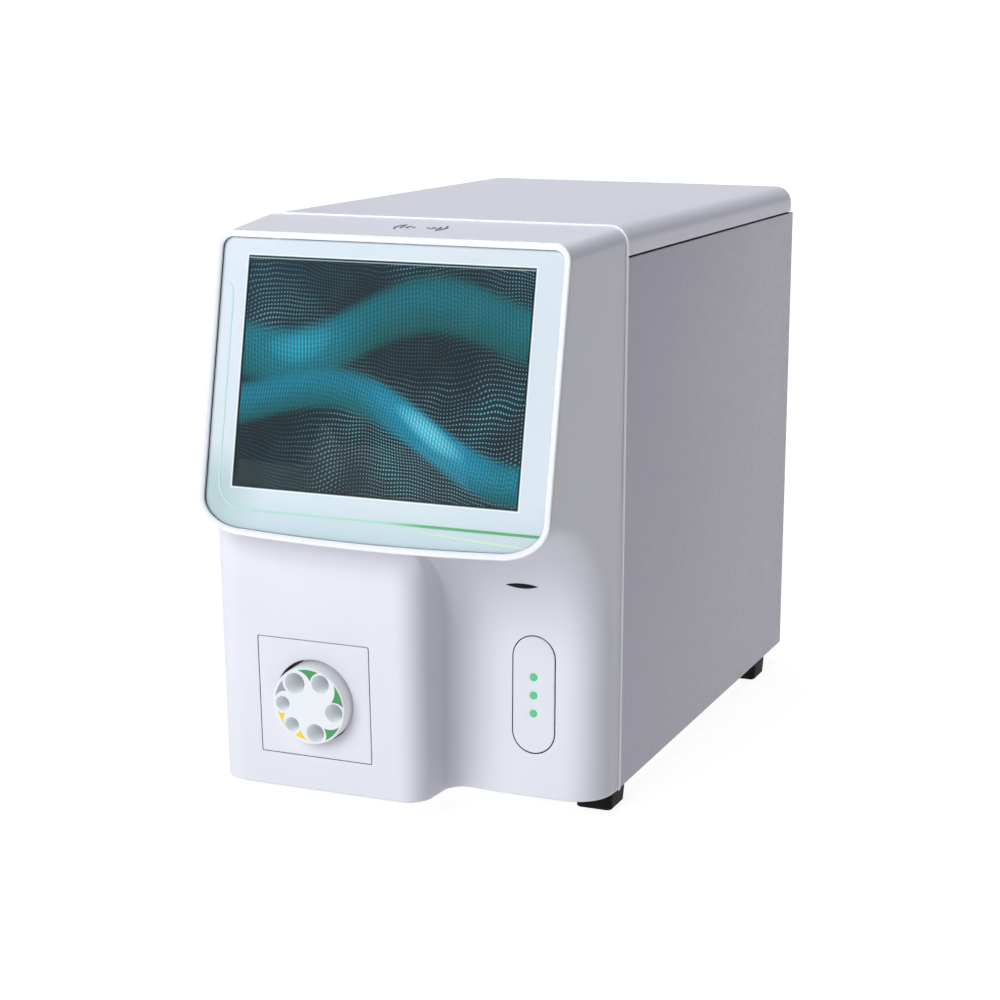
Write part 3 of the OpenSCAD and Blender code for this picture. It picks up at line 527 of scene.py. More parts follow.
def line_ink(name):
    """Green line, strongest at the right and fading towards the left corner."""
    m = Nodes(name)
    sep = m.new("SeparateXYZ")
    c = m.object_coord()
    m.link(c, sep.inputs[0])
    x = m.math("MULTIPLY", sep.outputs[0], 1000)
    t = m.math("ADD", x, m.math("MULTIPLY", m.noise(c, 400, 2), 4))
    n = m.step(t, -118, 118, 0, 1, False)
    col = m.ramp(n, [(0.0, (0.40, 0.55, 0.53)), (0.12, (0.33, 0.50, 0.45)), (0.55, (0.30, 0.52, 0.42)), (0.68, (0.085, 0.31, 0.13)), (1.0, (0.07, 0.275, 0.11))])
    m.principled(Base_Color=col, Roughness=m.step(m.noise(c, 300, 2), 0.3, 0.7, 0.35, 0.5), Normal=m.bump(m.noise(c, 1500, 2), 0.1, 0.00002))
    return m.mat


def display_image(name):
    """A generic field of dots: crossing ribbons of fine bright strokes over flowing dotted rows."""
    m = Nodes(name)
    c = m.object_coord()
    sep = m.new("SeparateXYZ")
    m.link(c, sep.inputs[0])
    x, y = m.math("MULTIPLY", sep.outputs[0], 1000), m.math("MULTIPLY", sep.outputs[1], 1000)
    slow = m.noise(c, 14, 2)
    wav = m.math("MULTIPLY", m.math("SINE", m.math("MULTIPLY_ADD", x, 0.045, m.math("MULTIPLY", y, 0.03))), 5.5)
    warp = m.math("ADD", wav, m.math("MULTIPLY", m.math("SUBTRACT", slow, 0.5), 26))
    v = m.math("DIVIDE", m.math("ADD", y, warp), 2.7)
    u = m.math("DIVIDE", m.math("ADD", x, m.math("MULTIPLY", warp, 0.5)), 2.2)
    du = m.math("SUBTRACT", m.math("FRACT", u), 0.5)
    dv = m.math("SUBTRACT", m.math("FRACT", v), 0.5)
    r = m.math("SQRT", m.math("ADD", m.math("MULTIPLY", m.math("MULTIPLY", du, du), 0.5), m.math("MULTIPLY", dv, dv)))
    glow = m.noise(c, 9, 3, 0.6)
    size = m.step(glow, 0.35, 0.7, 0.13, 0.27, False)
    dots = m.math("MULTIPLY", m.math("SUBTRACT", 1.0, m.math("DIVIDE", r, size), clamp=True), 2.2, clamp=True)
    dot_col = m.ramp(m.step(m.math("ADD", glow, m.math("MULTIPLY", x, 0.001)), 0.3, 0.75, 0, 1, False),
                     [(0.0, (0.02, 0.055, 0.065)), (0.35, (0.05, 0.15, 0.15)), (0.62, (0.16, 0.34, 0.36)), (1.0, (0.10, 0.52, 0.62))])
    back = m.ramp(m.step(m.math("ADD", glow, m.math("MULTIPLY", y, 0.0012)), 0.25, 0.8, 0, 1, False),
                  [(0.0, (0.007, 0.010, 0.012)), (0.5, (0.010, 0.021, 0.030)), (1.0, (0.008, 0.035, 0.062))])
    col = m.mixc(dots, back, dot_col)

    def ribbon(col, a0, slope, amp, k, ph, width, strokes, lean, tint_lo, tint_hi, peak, top):
        centre = m.math("ADD", m.math("MULTIPLY_ADD", x, slope, a0), m.math("MULTIPLY", m.math("SINE", m.math("MULTIPLY_ADD", x, k, ph)), amp))
        d = m.math("DIVIDE", m.math("SUBTRACT", y, centre), width)
        body = m.step(m.math("ABSOLUTE", d), 0.55, 1.0, 1, 0)
        s = m.math("SINE", m.math("ADD", m.math("MULTIPLY", x, strokes), m.math("MULTIPLY", d, lean)))
        s2 = m.math("SINE", m.math("ADD", m.math("MULTIPLY", d, width * 1.9), m.math("MULTIPLY", x, 0.35)))
        thread = m.step(m.math("ADD", s, m.math("MULTIPLY", s2, 0.45)), -0.5, 1.15)
        shine = m.step(m.math("ABSOLUTE", m.math("SUBTRACT", x, peak)), 0, 62, 1, 0)
        edge = m.step(m.math("ABSOLUTE", m.math("SUBTRACT", d, 0.25)), 0.0, 1.0, 1, 0)
        hue = m.ramp(m.math("ADD", m.math("MULTIPLY", shine, 0.6), m.math("MULTIPLY", edge, 0.4)), [(0.0, tint_lo), (0.75, tint_hi), (1.0, top)])
        col = m.mixc(m.math("MULTIPLY", body, 0.72), col, m.mixc(0.35, hue, (0.004, 0.012, 0.02)))
        return m.mixc(m.math("MULTIPLY", thread, body), col, hue)

    col = ribbon(col, 34, 0.10, 15, 0.031, 0.6, 23, 2.5, 5.0, (0.008, 0.13, 0.14), (0.01, 0.24, 0.33), -62, (0.02, 0.42, 0.60))
    col = ribbon(col, -30, -0.16, 18, 0.026, 2.2, 17, 2.9, -6.0, (0.008, 0.15, 0.17), (0.01, 0.34, 0.55), 38, (0.16, 0.78, 1.0))
    dx = m.math("SUBTRACT", LCD_W / 2, m.math("ABSOLUTE", x))
    dy = m.math("SUBTRACT", LCD_H / 2, m.math("ABSOLUTE", y))
    margin = m.math("MINIMUM", dx, dy)
    col = m.mixc(m.step(margin, 1.0, 1.3), (0.004, 0.005, 0.006), col)
    fine = m.math("MULTIPLY", m.step(m.math("ABSOLUTE", m.math("SUBTRACT", dy, 1.25)), 0.25, 0.5, 1, 0), m.step(y, 0, 1))
    col = m.mixc(m.math("MULTIPLY", fine, 0.8), col, (0.42, 0.55, 0.60))
    p = m.principled(Base_Color=(0.01, 0.012, 0.014, 1), Roughness=m.step(m.noise(c, 300, 2), 0.3, 0.7, 0.3, 0.4), Emission_Color=col)
    p.inputs["Specular IOR Level"].default_value = 0.08
    p.inputs["Emission Strength"].default_value = 1.0
    return m.mat


def light_pipe(name):
    m = Nodes(name)
    c = m.object_coord()
    col = m.ramp(m.noise(c, 300, 2), [(0.3, (0.042, 0.34, 0.13)), (0.7, (0.055, 0.37, 0.155))])
    p = m.principled(Base_Color=col, Roughness=m.step(m.noise(c, 500, 2), 0.3, 0.7, 0.2, 0.35), Emission_Color=col,
                     Normal=m.bump(m.noise(c, 1500, 2), 0.1, 0.00002))
    p.inputs["Emission Strength"].default_value = 0.25
    return m.mat


def well_wall_painted_glow(name):
    """Smooth white wall of the wells, with a painted glow that is dimmer with depth: painted bounce light near the
    mouth, painted shade further in.
    """
    m = Nodes(name)
    c = m.object_coord()
    sep = m.new("SeparateXYZ")
    m.link(c, sep.inputs[0])
    # painted shade: the emitted colour darkens with depth into the well
    deep = m.step(m.math("MULTIPLY", sep.outputs[2], 1000), -16, 9, 0, 1, False)
    col = m.ramp(m.noise(c, 90, 2), [(0.3, (0.40, 0.415, 0.44)), (0.7, (0.42, 0.435, 0.46))])
    p = m.principled(Base_Color=col, Roughness=m.step(m.noise(c, 400, 2), 0.3, 0.7, 0.4, 0.5), Emission_Color=m.ramp(deep, [(0.0, (0.13, 0.145, 0.16)), (1.0, (0.36, 0.385, 0.40))]),
                     Normal=m.bump(m.noise(c, 1500, 2), 0.1, 0.00002))
    p.inputs["Emission Strength"].default_value = 0.8
    return m.mat


def gap_dark(name):
    """Near-black painted shade for the inside walls of a joint, where only shade falls."""
    m = Nodes(name)
    c = m.object_coord()
    col = m.ramp(m.noise(c, 60, 3), [(0.3, (0.006, 0.006, 0.008)), (0.7, (0.010, 0.010, 0.013))])
    m.principled(Base_Color=col, Roughness=m.step(m.noise(c, 300, 2), 0.3, 0.7, 0.75, 0.9), Normal=m.bump(m.noise(c, 1500, 2), 0.2, 0.00004))
    return m.mat


WHITE = (0.520, 0.516, 0.585)
M = {
    "cover_white": moulded("cover_plastic", WHITE, 0.40),
    "rim_white": moulded("rim_plastic", (0.61, 0.60, 0.665), 0.24, vary=0.01, strength=0.12, coat=0.3),
    "glass": glass_sheet("cover_glass_clear"),
    "print_pale": border_ink("border_print_ink"),
    "print_green": line_ink("green_line_ink"),
    "screen_dark": display_image("display_image"),
    "sheet_metal": metal("zinc_sheet", (0.62, 0.63, 0.65), 0.38, (1, 40, 1)),
    "board_green": board("circuit_board"),
    "mark_green": moulded("mark_green_ink", (0.040, 0.215, 0.075), 0.38, vary=0.06, grain=1800, strength=0.2),
    "mark_yellow": moulded("mark_yellow_ink", (0.66, 0.42, 0.010), 0.38, vary=0.04, grain=1800, strength=0.2),
    "mark_grey": moulded("mark_grey_ink", (0.235, 0.24, 0.26), 0.38, vary=0.05, grain=1800, strength=0.2),
    "steel": metal("ground_steel", (0.66, 0.67, 0.68), 0.22, (1, 1, 30)),
    "motor_dark": metal("black_oxide", (0.10, 0.10, 0.11), 0.42, (1, 1, 6)),
    "natural_plastic": moulded("natural_polymer", (0.70, 0.69, 0.63), 0.45, vary=0.03, subsurface=0.1),
    "light_green": light_pipe("light_pipe_green"),
    "dark_plastic": moulded("black_plastic", (0.025, 0.025, 0.028), 0.45, vary=0.15, grain=1800, strength=0.5, depth=0.00006),
    # the side panels' white coating is set darker and more violet than the cover's plastic, as painted shade for the
    # sides away from the key light
    "panel_white": coated_sheet("panel_coating_and_painted_shade", (0.385, 0.368, 0.450), 0.44),
    "foot_black": rubber("foot_rubber", (0.005, 0.005, 0.0055)),
    "tube_clear": clear("clear_tube", (0.80, 0.88, 0.90)),
    "alloy": metal("anodised_alloy", (0.30, 0.31, 0.34), 0.4, (20, 1, 1)),
    "tube_soft": clear("soft_tube", (0.85, 0.82, 0.66), 0.3, 0.7),
    "pin_brass": metal("plated_brass", (0.78, 0.68, 0.42), 0.25, (30, 1, 1)),
    "port_metal": metal("port_shell", (0.62, 0.63, 0.66), 0.3, (30, 1, 1)),
}
# painted shade: white-plastic walls inside joints and openings are given this near-black colour
GAP_PAINTED_SHADE = gap_dark("joint_gap_painted_shade")
# the last colour is the painted highlight of the seam lip
SHELL_WHITE = shell_plastic("cover_shell_plastic", WHITE, 0.40, (0.74, 0.74, 0.79))
READER_INK = moulded("reader_mark_ink", (0.10, 0.10, 0.125), 0.38, vary=0.05, grain=1800, strength=0.2)
WELL_WALL_PAINTED_GLOW = well_wall_painted_glow("well_wall_painted_glow")
# the wheel's plastic gets a painted glow (glow=0.75) so that its shaded side wall reads as lit by bounce light
WHEEL_WHITE_PAINTED_GLOW = moulded("wheel_plastic_painted_glow", (0.37, 0.375, 0.405), 0.3, vary=0.01, strength=0.12, glow=0.75, specular=0.35)
# every CAD node that stays on show takes the material of its own slot
for entry in frame["record"]["subparts"]:
    o = frame["nodes"][entry["node"]]
    o.data.materials.clear()
    o.data.materials.append(M[entry["material_slot"]])

# ---------------------------------------------------------------- front cover surface, seam frame


def yp(z):
    return -SCR_OUT + (z - SCR_Z) * TT


def rim_bot(x):
    if abs(x) <= RIM_CX:
        return -115 + 2.5 * (x / RIM_CX) ** 2
    return -87 - 25.5 * math.sqrt(max(0.0, 1 - ((abs(x) - RIM_CX) / 35.3) ** 2))


def side(y, z):
    return HW - TAPER * y / yp(max(z, Z_LO))


def dp(x, s, d):
    return np.array([x, -SCR_OUT + s * ST - d * CT, SCR_Z + s * CT + d * ST])


def bow(x):
    return 2 * ((x - 92) / 50) ** 2


def low(u, z, o=0.0):
    yb = -BLOCK_OUT - z * math.tan(rad(LEAN))
    lcy = yb + 15
    lcx = -(side(lcy, z) - 22)
    xg = side(-11, z) - 28
    ey = -RECESS_OUT + bow(40.5) - 14
    gy = -RECESS_OUT + bow(xg) + 28
    if u <= 4:
        y = mix(0.0, lcy, u / 4)
        return (-(side(y, z) - o), y)
    if u <= 9:
        a = rad(18 * (u - 4))
        return (lcx - (22 - o) * math.cos(a), lcy - (15 - o) * math.sin(a))
    if u <= 15:
        return (mix(lcx, 7, (u - 9) / 6), yb + o)
    if u <= 20:
        a = rad(18 * (u - 15))
        return (7 + (18 - o) * math.sin(a), yb + 18 - (18 - o) * math.cos(a))
    if u < 21:
        t = u - 20
        return (mix(25 - o, 26.5 - o, t), mix(yb + 18, ey, t))
    if u <= 26:
        a = rad(18 * (u - 21))
        return (40.5 - (14 + o) * math.cos(a), ey + (14 + o) * math.sin(a))
    if u <= 33:
        x = mix(40.5, xg, (u - 26) / 7)
        return (x, -RECESS_OUT + bow(x) + o)
    if u <= 39:
        a = rad(15 * (u - 33))
        return (xg + (28 - o) * math.sin(a), gy - (28 - o) * math.cos(a))
    y = mix(gy, 0.0, (u - 39) / 4)
    return (side(y, z) - o, y)


def rim_xs(u):
    """The matching point on the rim's lower edge, as (x, height on the slope)."""
    if u <= 9:
        a = rad(mix(8, 90, (u - 4) / 5))
        return (-RIM_CX - 35.3 * math.cos(a), -87 - 25.5 * math.sin(a))
    if u <= 15:
        x = mix(-RIM_CX, 7, (u - 9) / 6)
    elif u <= 20:
        x = 7 + 18 * math.sin(rad(18 * (u - 15)))
    elif u < 21:
        x = mix(25, 26.5, u - 20)
    elif u <= 26:
        x = 40.5 - 14 * math.cos(rad(18 * (u - 21)))
    elif u <= 33:
        x = mix(40.5, RIM_CX, (u - 26) / 7)
    else:
        a = rad(mix(90, 8, (u - 33) / 6))
        return (RIM_CX + 35.3 * math.cos(a), -87 - 25.5 * math.sin(a))
    return (x, rim_bot(x))


EDGE = 1.1  # rounding of the cover's front edge


def under(u):
    if u < 4:
        f = dp(*rim_xs(4), -EDGE)
        return mix(np.array([-HW, 0.0, f[2]]), f, u / 4)
    if u > 39:
        f = dp(*rim_xs(39), -EDGE)
        return mix(f, np.array([HW, 0.0, f[2]]), (u - 39) / 4)
    return dp(*rim_xs(u), -EDGE)


def cove_z(u):
    r, p = under(u), low(u, 165)
    return r[2] - max(20.0, 0.88 * math.hypot(r[0] - p[0], r[1] - p[1]))


def cove(u, f):
    zc = cove_z(u)
    p, r = low(u, zc), under(u)
    c, s = 1 - math.cos(f), math.sin(f)
    return (mix(p[0], r[0], c), mix(p[1], r[1], c), mix(zc, r[2], s))


def span(a, b, n):
    return [mix(a, b, k / n) for k in range(n)]


US = span(0, 4, 16) + span(4, 9, 22) + span(9, 15, 60) + span(15, 20, 20) + span(20, 21, 2) + span(21, 26, 20)
US += span(26, 33, 36) + span(33, 39, 26) + span(39, 43, 16) + [43]
ZS = [(0.0, 1.6), (0.12, 1.05), (0.45, 0.5), (1.0, 0.15), (1.8, 0.0)]
Z_TOP = 106.0
rows = []
for z, o in ZS:
    rows.append([(*low(u, z, o), z) for u in US])
for k in range(1, 45):
    z = mix(1.8, Z_TOP, k / 44)
    rows.append([(*low(u, z), z) for u in US])
for k in range(1, 7):
    rows.append([(lambda zz, uu: (*low(uu, zz), zz))(mix(Z_TOP, cove_z(u), k / 7), u) for u in US])
for k in range(0, 31):
    rows.append([cove(u, rad(3 * k)) for u in US])

cover = Build()
grid = [cover.add(r) for r in rows]
NR, NC = len(grid), len(US)
holes_cells = np.zeros((NR - 1, NC - 1), bool)


def u_at(test, lo, hi):
    ks = [k for k, u in enumerate(US) if lo <= u <= hi and test(k)]
    return min(ks), max(ks)


def cut(c0, c1, r0, r1):
    """Takes a block of cells out of the cover and returns its outline, counter-clockwise as seen from in front."""
    holes_cells[r0:r1, c0:c1] = True
    loop = [grid[r0][c] for c in range(c0, c1)] + [grid[r][c1] for r in range(r0, r1)]
    loop += [grid[r1][c] for c in range(c1, c0, -1)] + [grid[r][c0] for r in range(r1, r0, -1)]
    return loop


def opening(outer, shape, to3, inv, normal, depth, r=0.5, rings=(0.0, 2.5, 5.5), dark=4, turn=False, deep=None):
    """An opening with a rounded edge: shape(g) is its outline moved outwards by g, in a plane; to3 puts a point on the surface."""
    flat_outer = [inv(cover.v[i]) for i in outer]
    lips = []
    for inwards, down in edge_arc(r, 4):
        pts = [np.array(to3(*p)) + normal * down for p in shape(inwards)]
        lips.append(cover.add(pts))
    pts = [np.array(to3(*p)) + (normal if deep is None else deep) * depth for p in shape(0.0)]
    lips.append(cover.add(pts))
    # lip bands from the dark-th on take the second material, the painted shade inside the opening
    for k, (a, b) in enumerate(zip(lips, lips[1:])):
        first_face = len(cover.f)
        cover.band(*((b, a) if turn else (a, b)))
        if k >= dark:
            cover.inner_from(first_face)
    # between the outline of the block and the first lip
    first = shape(r)
    loops = [flat_outer, first]
    ids = [outer, lips[0]]
    pts2, known, edges = [], [], []
    for loop, names in zip(loops, ids):
        base = len(pts2)
        for k, p in enumerate(loop):
            pts2.append(Vector((p[0], p[1])))
            known.append(names[k])
            edges.append((base + k, base + (k + 1) % len(loop)))
    poly_out, poly_in = np.array(loops[0]), np.array(loops[1])
    for g in rings[1:]:
        for p in shape(r + g)[::2]:
            if inside(poly_out, p) and min(math.dist(p, q) for q in loops[0]) > 1.2:
                pts2.append(Vector(p))
                known.append(None)
    out = delaunay_2d_cdt(pts2, edges, [], 0, 1e-6, True)
    where = []
    for k, origin in enumerate(out[3]):
        have = [known[o] for o in origin if known[o] is not None]
        where.append(have[0] if have else cover.add([to3(out[0][k].x, out[0][k].y)])[0])
    for tri in out[2]:
        c = sum((out[0][i] for i in tri), Vector((0, 0))) / len(tri)
        p0, p1, p2 = (out[0][i] for i in tri[:3])
        if len(tri) == 3 and abs((p1 - p0).cross(p2 - p0)) < 0.1 and all(out[3][i] and out[3][i][0] < len(flat_outer) for i in tri):
            continue  # a sliver on the outline
        if inside(poly_out, c) and not inside(poly_in, c):
            cover.f.append(tuple(where[i] for i in (tri[::-1] if turn else tri)))


# the square opening of the tube station, in the leaning plane of the block's face
sl, cl, tl = math.sin(rad(LEAN)), math.cos(rad(LEAN)), math.tan(rad(LEAN))
half = PLATE_W / 2 + 0.5


def station3(x, y):
    z = ST_Z + y * cl
    return (ST_X + x, -BLOCK_OUT - z * tl, z)


def station_inv(p):
    return (p[0] - ST_X, (p[2] - ST_Z) / cl)


row_z = [grid_row[0] for grid_row in rows]
mid = US.index(min(US, key=lambda u: abs(u - 12)))
rz_mid = [r[mid][2] for r in rows]
c0 = max(k for k, u in enumerate(US) if 9 <= u <= 15 and rows[20][k][0] < ST_X - half - 3.2)
c1 = min(k for k, u in enumerate(US) if 9 <= u <= 15 and rows[20][k][0] > ST_X + half + 3.2)
r0 = max(k for k, z in enumerate(rz_mid) if z < ST_Z - half - 3.2)
r1 = min(k for k, z in enumerate(rz_mid) if z > ST_Z + half + 3.2)
square = cut(c0, c1, r0, r1)
square_hole = rounded_box(2 * half, 2 * half, 1.4)
opening(square, lambda g: inset(square_hole, -g), station3, station_inv, np.array([0, cl, sl]), 7.0, 0.4, (0.0,))


# the capsule opening of the aspirate button, on the recess wall
def recess3(x, z):
    X, Z = BT_X + x, BT_Z + z
    xg = side(-11, Z) - 28
    u = 26 + 7 * (X - 40.5) / (xg - 40.5)
    zc, r = cove_z(u), under(u)
    y = -RECESS_OUT + bow(X)
    if Z > zc:
        s = min(1.0, (Z - zc) / (r[2] - zc))
        y = mix(y, r[1], 1 - math.sqrt(1 - s * s))
    return (X, y, Z)


mid = US.index(min(US, key=lambda u: abs(u - 30)))
rz_mid = [r[mid][2] for r in rows]
c0 = max(k for k, u in enumerate(US) if 26 <= u <= 33 and rows[30][k][0] < BT_X - BUT_W / 2 - 2.5)
c1 = min(k for k, u in enumerate(US) if 26 <= u <= 33 and rows[30][k][0] > BT_X + BUT_W / 2 + 2.5)
r0 = max(k for k, z in enumerate(rz_mid) if z < BT_Z - BUT_H / 2 - 2.5)
r1 = min(k for k, z in enumerate(rz_mid) if z > BT_Z + BUT_H / 2 + 2.5)
capsule = cut(c0, c1, r0, r1)
opening(capsule, lambda g: stadium(BUT_W + 1.3 + 2 * g, BUT_H + 1.3 + 2 * g), recess3, lambda p: (p[0] - BT_X, p[2] - BT_Z), np.array([0, 1.0, 0]), 7.0, 0.3, (0.0, 1.6), 2)

# the slit of the sampling probe, in the cove over the button
cove_rows = [k for k in range(NR - 31, NR)]
plan = np.array([[[p[0], p[1]] for p in rows[k]] for k in cove_rows])


def cove_at(x, y):
    """Point of the cove over a point in plan."""
    u, f = 31.0, rad(40)
    for _ in range(30):
        p = np.array(cove(u, f))
        e = np.array([x - p[0], y - p[1]])
        if abs(e).max() < 1e-7:
            break
        h = 1e-4
        pu, pf = np.array(cove(u + h, f)), np.array(cove(u, f + h))
        j = np.array([[pu[0] - p[0], pf[0] - p[0]], [pu[1] - p[1], pf[1] - p[1]]]) / h
        du, df = np.linalg.solve(j, e)
        u, f = min(33, max(26, u + du)), min(rad(89), max(rad(2), f + df))
    return cove(u, f)


hits = np.argwhere((abs(plan[:, :, 0] - PR_X) < SLIT_W / 2 + 4.5) & (abs(plan[:, :, 1] - PR_Y) < SLIT_D / 2 + 4.0))
hits = [(cove_rows[a], b) for a, b in hits if 26 <= US[b] <= 33]
r0, r1 = min(h[0] for h in hits), max(h[0] for h in hits)
c0, c1 = min(h[1] for h in hits), max(h[1] for h in hits)
slit = cut(c0, c1, r0, r1)
# seen in plan the rows run towards the front, so the outline is turned to run counter-clockwise there
SLOPE = np.array([0.0, 0.35, 0.94])
opening(slit[::-1], lambda g: [(PR_X + p[0], PR_Y + p[1]) for p in lens(SLIT_W + 2.6 * g, SLIT_D + 2 * g)], lambda x, y: cove_at(x, y),
        lambda p: (p[0], p[1]), SLOPE, 4.0, 0.3, (0.0,), 2, True, np.array([0, 0, 1.0]))

for r in range(NR - 1):
    for c in range(NC - 1):
        if not holes_cells[r, c]:
            cover.f.append((grid[r][c], grid[r][c + 1], grid[r + 1][c + 1], grid[r + 1][c]))

# head: ruled from the seam's arch to the rim's outline
arch = []  # (x, s) on the display plane and (x, z) at the seam
for a in (8, 4, 0):
    x, s = -RIM_CX - 35.3 * math.cos(rad(a)), -87 - 25.5 * math.sin(rad(a))
    arch.append(((x, s), (-HW, dp(x, s, -EDGE)[2])))
z_a, z_b = dp(0, -87, -EDGE)[2], dp(0, RIM_TOP - 12, -EDGE)[2]
for k in range(1, 15):
    s = mix(-87, RIM_TOP - 12, k / 14)
    z = dp(0, s, -EDGE)[2]
    arch.append(((-RIM_HW, s), (-HW, mix(z_a, BODY_H - 12, (z - z_a) / (z_b - z_a)))))
for k in range(1, 13):
    a = rad(90 * k / 12)
    arch.append(((-(RIM_HW - 12) - 12 * math.cos(a), RIM_TOP - 12 + 12 * math.sin(a)), (-(HW - 12) - 12 * math.cos(a), BODY_H - 12 + 12 * math.sin(a))))
for k in range(1, 12):
    arch.append(((mix(-(RIM_HW - 12), 0, k / 12), RIM_TOP), (mix(-(HW - 12), 0, k / 12), BODY_H)))
arch += [((0.0, RIM_TOP), (0.0, BODY_H))]
arch += [((-f[0], f[1]), (-s[0], s[1])) for f, s in reversed(arch[:-1])]
heads = []
for (fx, fs), (sx, sz) in arch:
    f, s = dp(fx, fs, -EDGE), np.array([sx, 0.0, sz])
    heads.append(cover.add([mix(s, f, k / 16) for k in range(17)]))
for a, b in zip(heads, heads[1:]):
    cover.band(a, b, closed=False)

# front edge: rounded over onto the display plane and into the pocket of the bezel
outline = [a[0] for a in arch][::-1]  # counter-clockwise seen from in front starts at the right, goes over the top
outline = outline + [rim_xs(u) for u in US if 4 < u < 39]
fronts = [cover.add([dp(x, s, -EDGE) for x, s in outline])]
for k in range(1, 5):
    a = rad(90 * k / 4)
    g, d = EDGE * (1 - math.cos(a)), -EDGE * (1 - math.sin(a))
    fronts.append(cover.add([dp(x, s, d) for x, s in inset(outline, g)]))
fronts.append(cover.add([dp(x, s, 0) for x, s in inset(outline, 1.9)]))
fronts.append(cover.add([dp(x, s, -2.3) for x, s in inset(outline, 1.95)]))
for a, b in zip(fronts, fronts[1:]):
    cover.band(a, b)

# raised lip round the seam
path = [(-HW, z) for z in span(1.2, BODY_H - 12, 30)]
path += [(-(HW - 12) - 12 * math.cos(rad(90 * k / 12)), BODY_H - 12 + 12 * math.sin(rad(90 * k / 12))) for k in range(12)]
path += [(x, BODY_H) for x in span(-(HW - 12), 0, 12)]
path += [(0.0, BODY_H)] + [(-x, z) for x, z in reversed(path)]
P = np.array(path)
tang = np.gradient(P, axis=0)
tang /= np.linalg.norm(tang, axis=1, keepdims=True)
out_n = np.stack([-tang[:, 1], tang[:, 0]], axis=1)
prof = [(-1.2, -0.2), (0.2, -0.2), (0.6, -0.3), (0.78, -0.55), (0.8, -0.9), (0.8, -2.3), (0.76, -2.48), (0.66, -2.58), (0.5, -2.6), (-0.3, -2.6), (-1.2, -2.6)]
lip = []
for o, y in prof:
    q = P + out_n * o
    lip.append(cover.add([(a[0], y, a[1]) for a in q]))
for a, b in zip(lip, lip[1:]):
    cover.band(b, a, closed=False)
cover.band(lip[0], lip[-1], closed=False)
cover.face([r[0] for r in lip])
cover.face([r[-1] for r in reversed(lip)])

front = cover.make("front_cover_shell", SEAM, "case", ["front_cover"], SHELL_WHITE, angle=38, outward=False, thick=1.9, second=GAP_PAINTED_SHADE)
# the wall is thinner round the slit, which the probe passes through
wall = front.vertex_groups.new(name="wall_thickness")
for v in front.data.vertices:
    x, y, z = (1000 * q for q in v.co)
    near = abs(x - PR_X) < SLIT_W / 2 + 4.5 and abs(y - PR_Y) < 6 and 145 < z < 172
    wall.add([v.index], 0.25 if near else 1.0, "REPLACE")
front.modifiers["wall"].vertex_group = wall.name

# ---------------------------------------------------------------- display
ring0 = [(p[0], p[1]) for p in outline]


def on_outline(build, profile, dark=99):
    loops = [build.ring(inset(ring0, g), d) for g, d in profile]
    for k, (a, b) in enumerate(zip(loops, loops[1:])):
        # bands from the dark-th on take the second material, painted shade
        first_face = len(build.f)
        build.band(b, a)
        if k >= dark:
            build.inner_from(first_face)
    build.band(loops[0], loops[-1])


bez = Build()
# the inner wall below the glass, from band 16 on, takes painted shade
on_outline(bez, [(2.15, -2.1), (2.15, 0.12), (0.35, 0.12), (0.12, 0.25), (0.0, 0.55), (0.02, 0.85), (0.15, 1.2), (0.42, 1.5), (0.85, 1.7), (1.4, 1.78),
                 (2.2, 1.72), (3.0, 1.5), (3.7, 1.2), (4.2, 0.95), (4.48, 0.78), (4.6, 0.55), (4.6, -0.75), (4.6, -2.1)], dark=16)
bez.make("display_bezel_rim", SCREEN, "case", ["display_bezel"], M["rim_white"], angle=40, second=GAP_PAINTED_SHADE)

gl = Build()
g_out = [gl.ring(inset(ring0, g), d) for g, d in [(4.95, -1.55), (4.95, 0.33), (5.01, 0.45), (5.15, 0.5)]]
gl.bands([g_out[0], g_out[1], g_out[2], g_out[3]])
gl.face(g_out[3])
gl.face(g_out[0][::-1])
gl.make("cover_glass_sheet", SCREEN, "case", ["cover_glass"], M["glass"], angle=25)

pr = Build()
wl, hl = LCD_W / 2, LCD_H / 2
window = rounded_box(LCD_W, LCD_H, 0.6, 3, 12)
o1, o2 = pr.ring(inset(ring0, 4.8), -1.8), pr.ring(inset(ring0, 4.8), -2.1)
w1, w2 = pr.ring(window, -1.8), pr.ring(window, -2.1)
pr.fill(o1, [w1])
pr.fill(o2, [w2])
pr.band(o1, o2)
pr.band(w1, w2)
pr.make("border_print_sheet", SCREEN, "case", ["border_print"], M["print_pale"], angle=25)


def strip(build, path, widths, z0, z1):
    """A flat line of varying width along a path."""
    p = np.array(path, float)
    t = np.gradient(p, axis=0)
    t /= np.linalg.norm(t, axis=1, keepdims=True)
    n = np.stack([-t[:, 1], t[:, 0]], axis=1)
    w = np.array(widths)[:, None] / 2
    a, b = p + n * w, p - n * w
    at, bt = build.ring(a, z1), build.ring(b, z1)
    ab, bb = build.ring(a, z0), build.ring(b, z0)
    build.band(bt, at, False)
    build.band(ab, bb, False)
    build.band(at, ab, False)
    build.band(bb, bt, False)
    build.face([at[0], bt[0], bb[0], ab[0]])
    build.face([at[-1], ab[-1], bb[-1], bt[-1]])


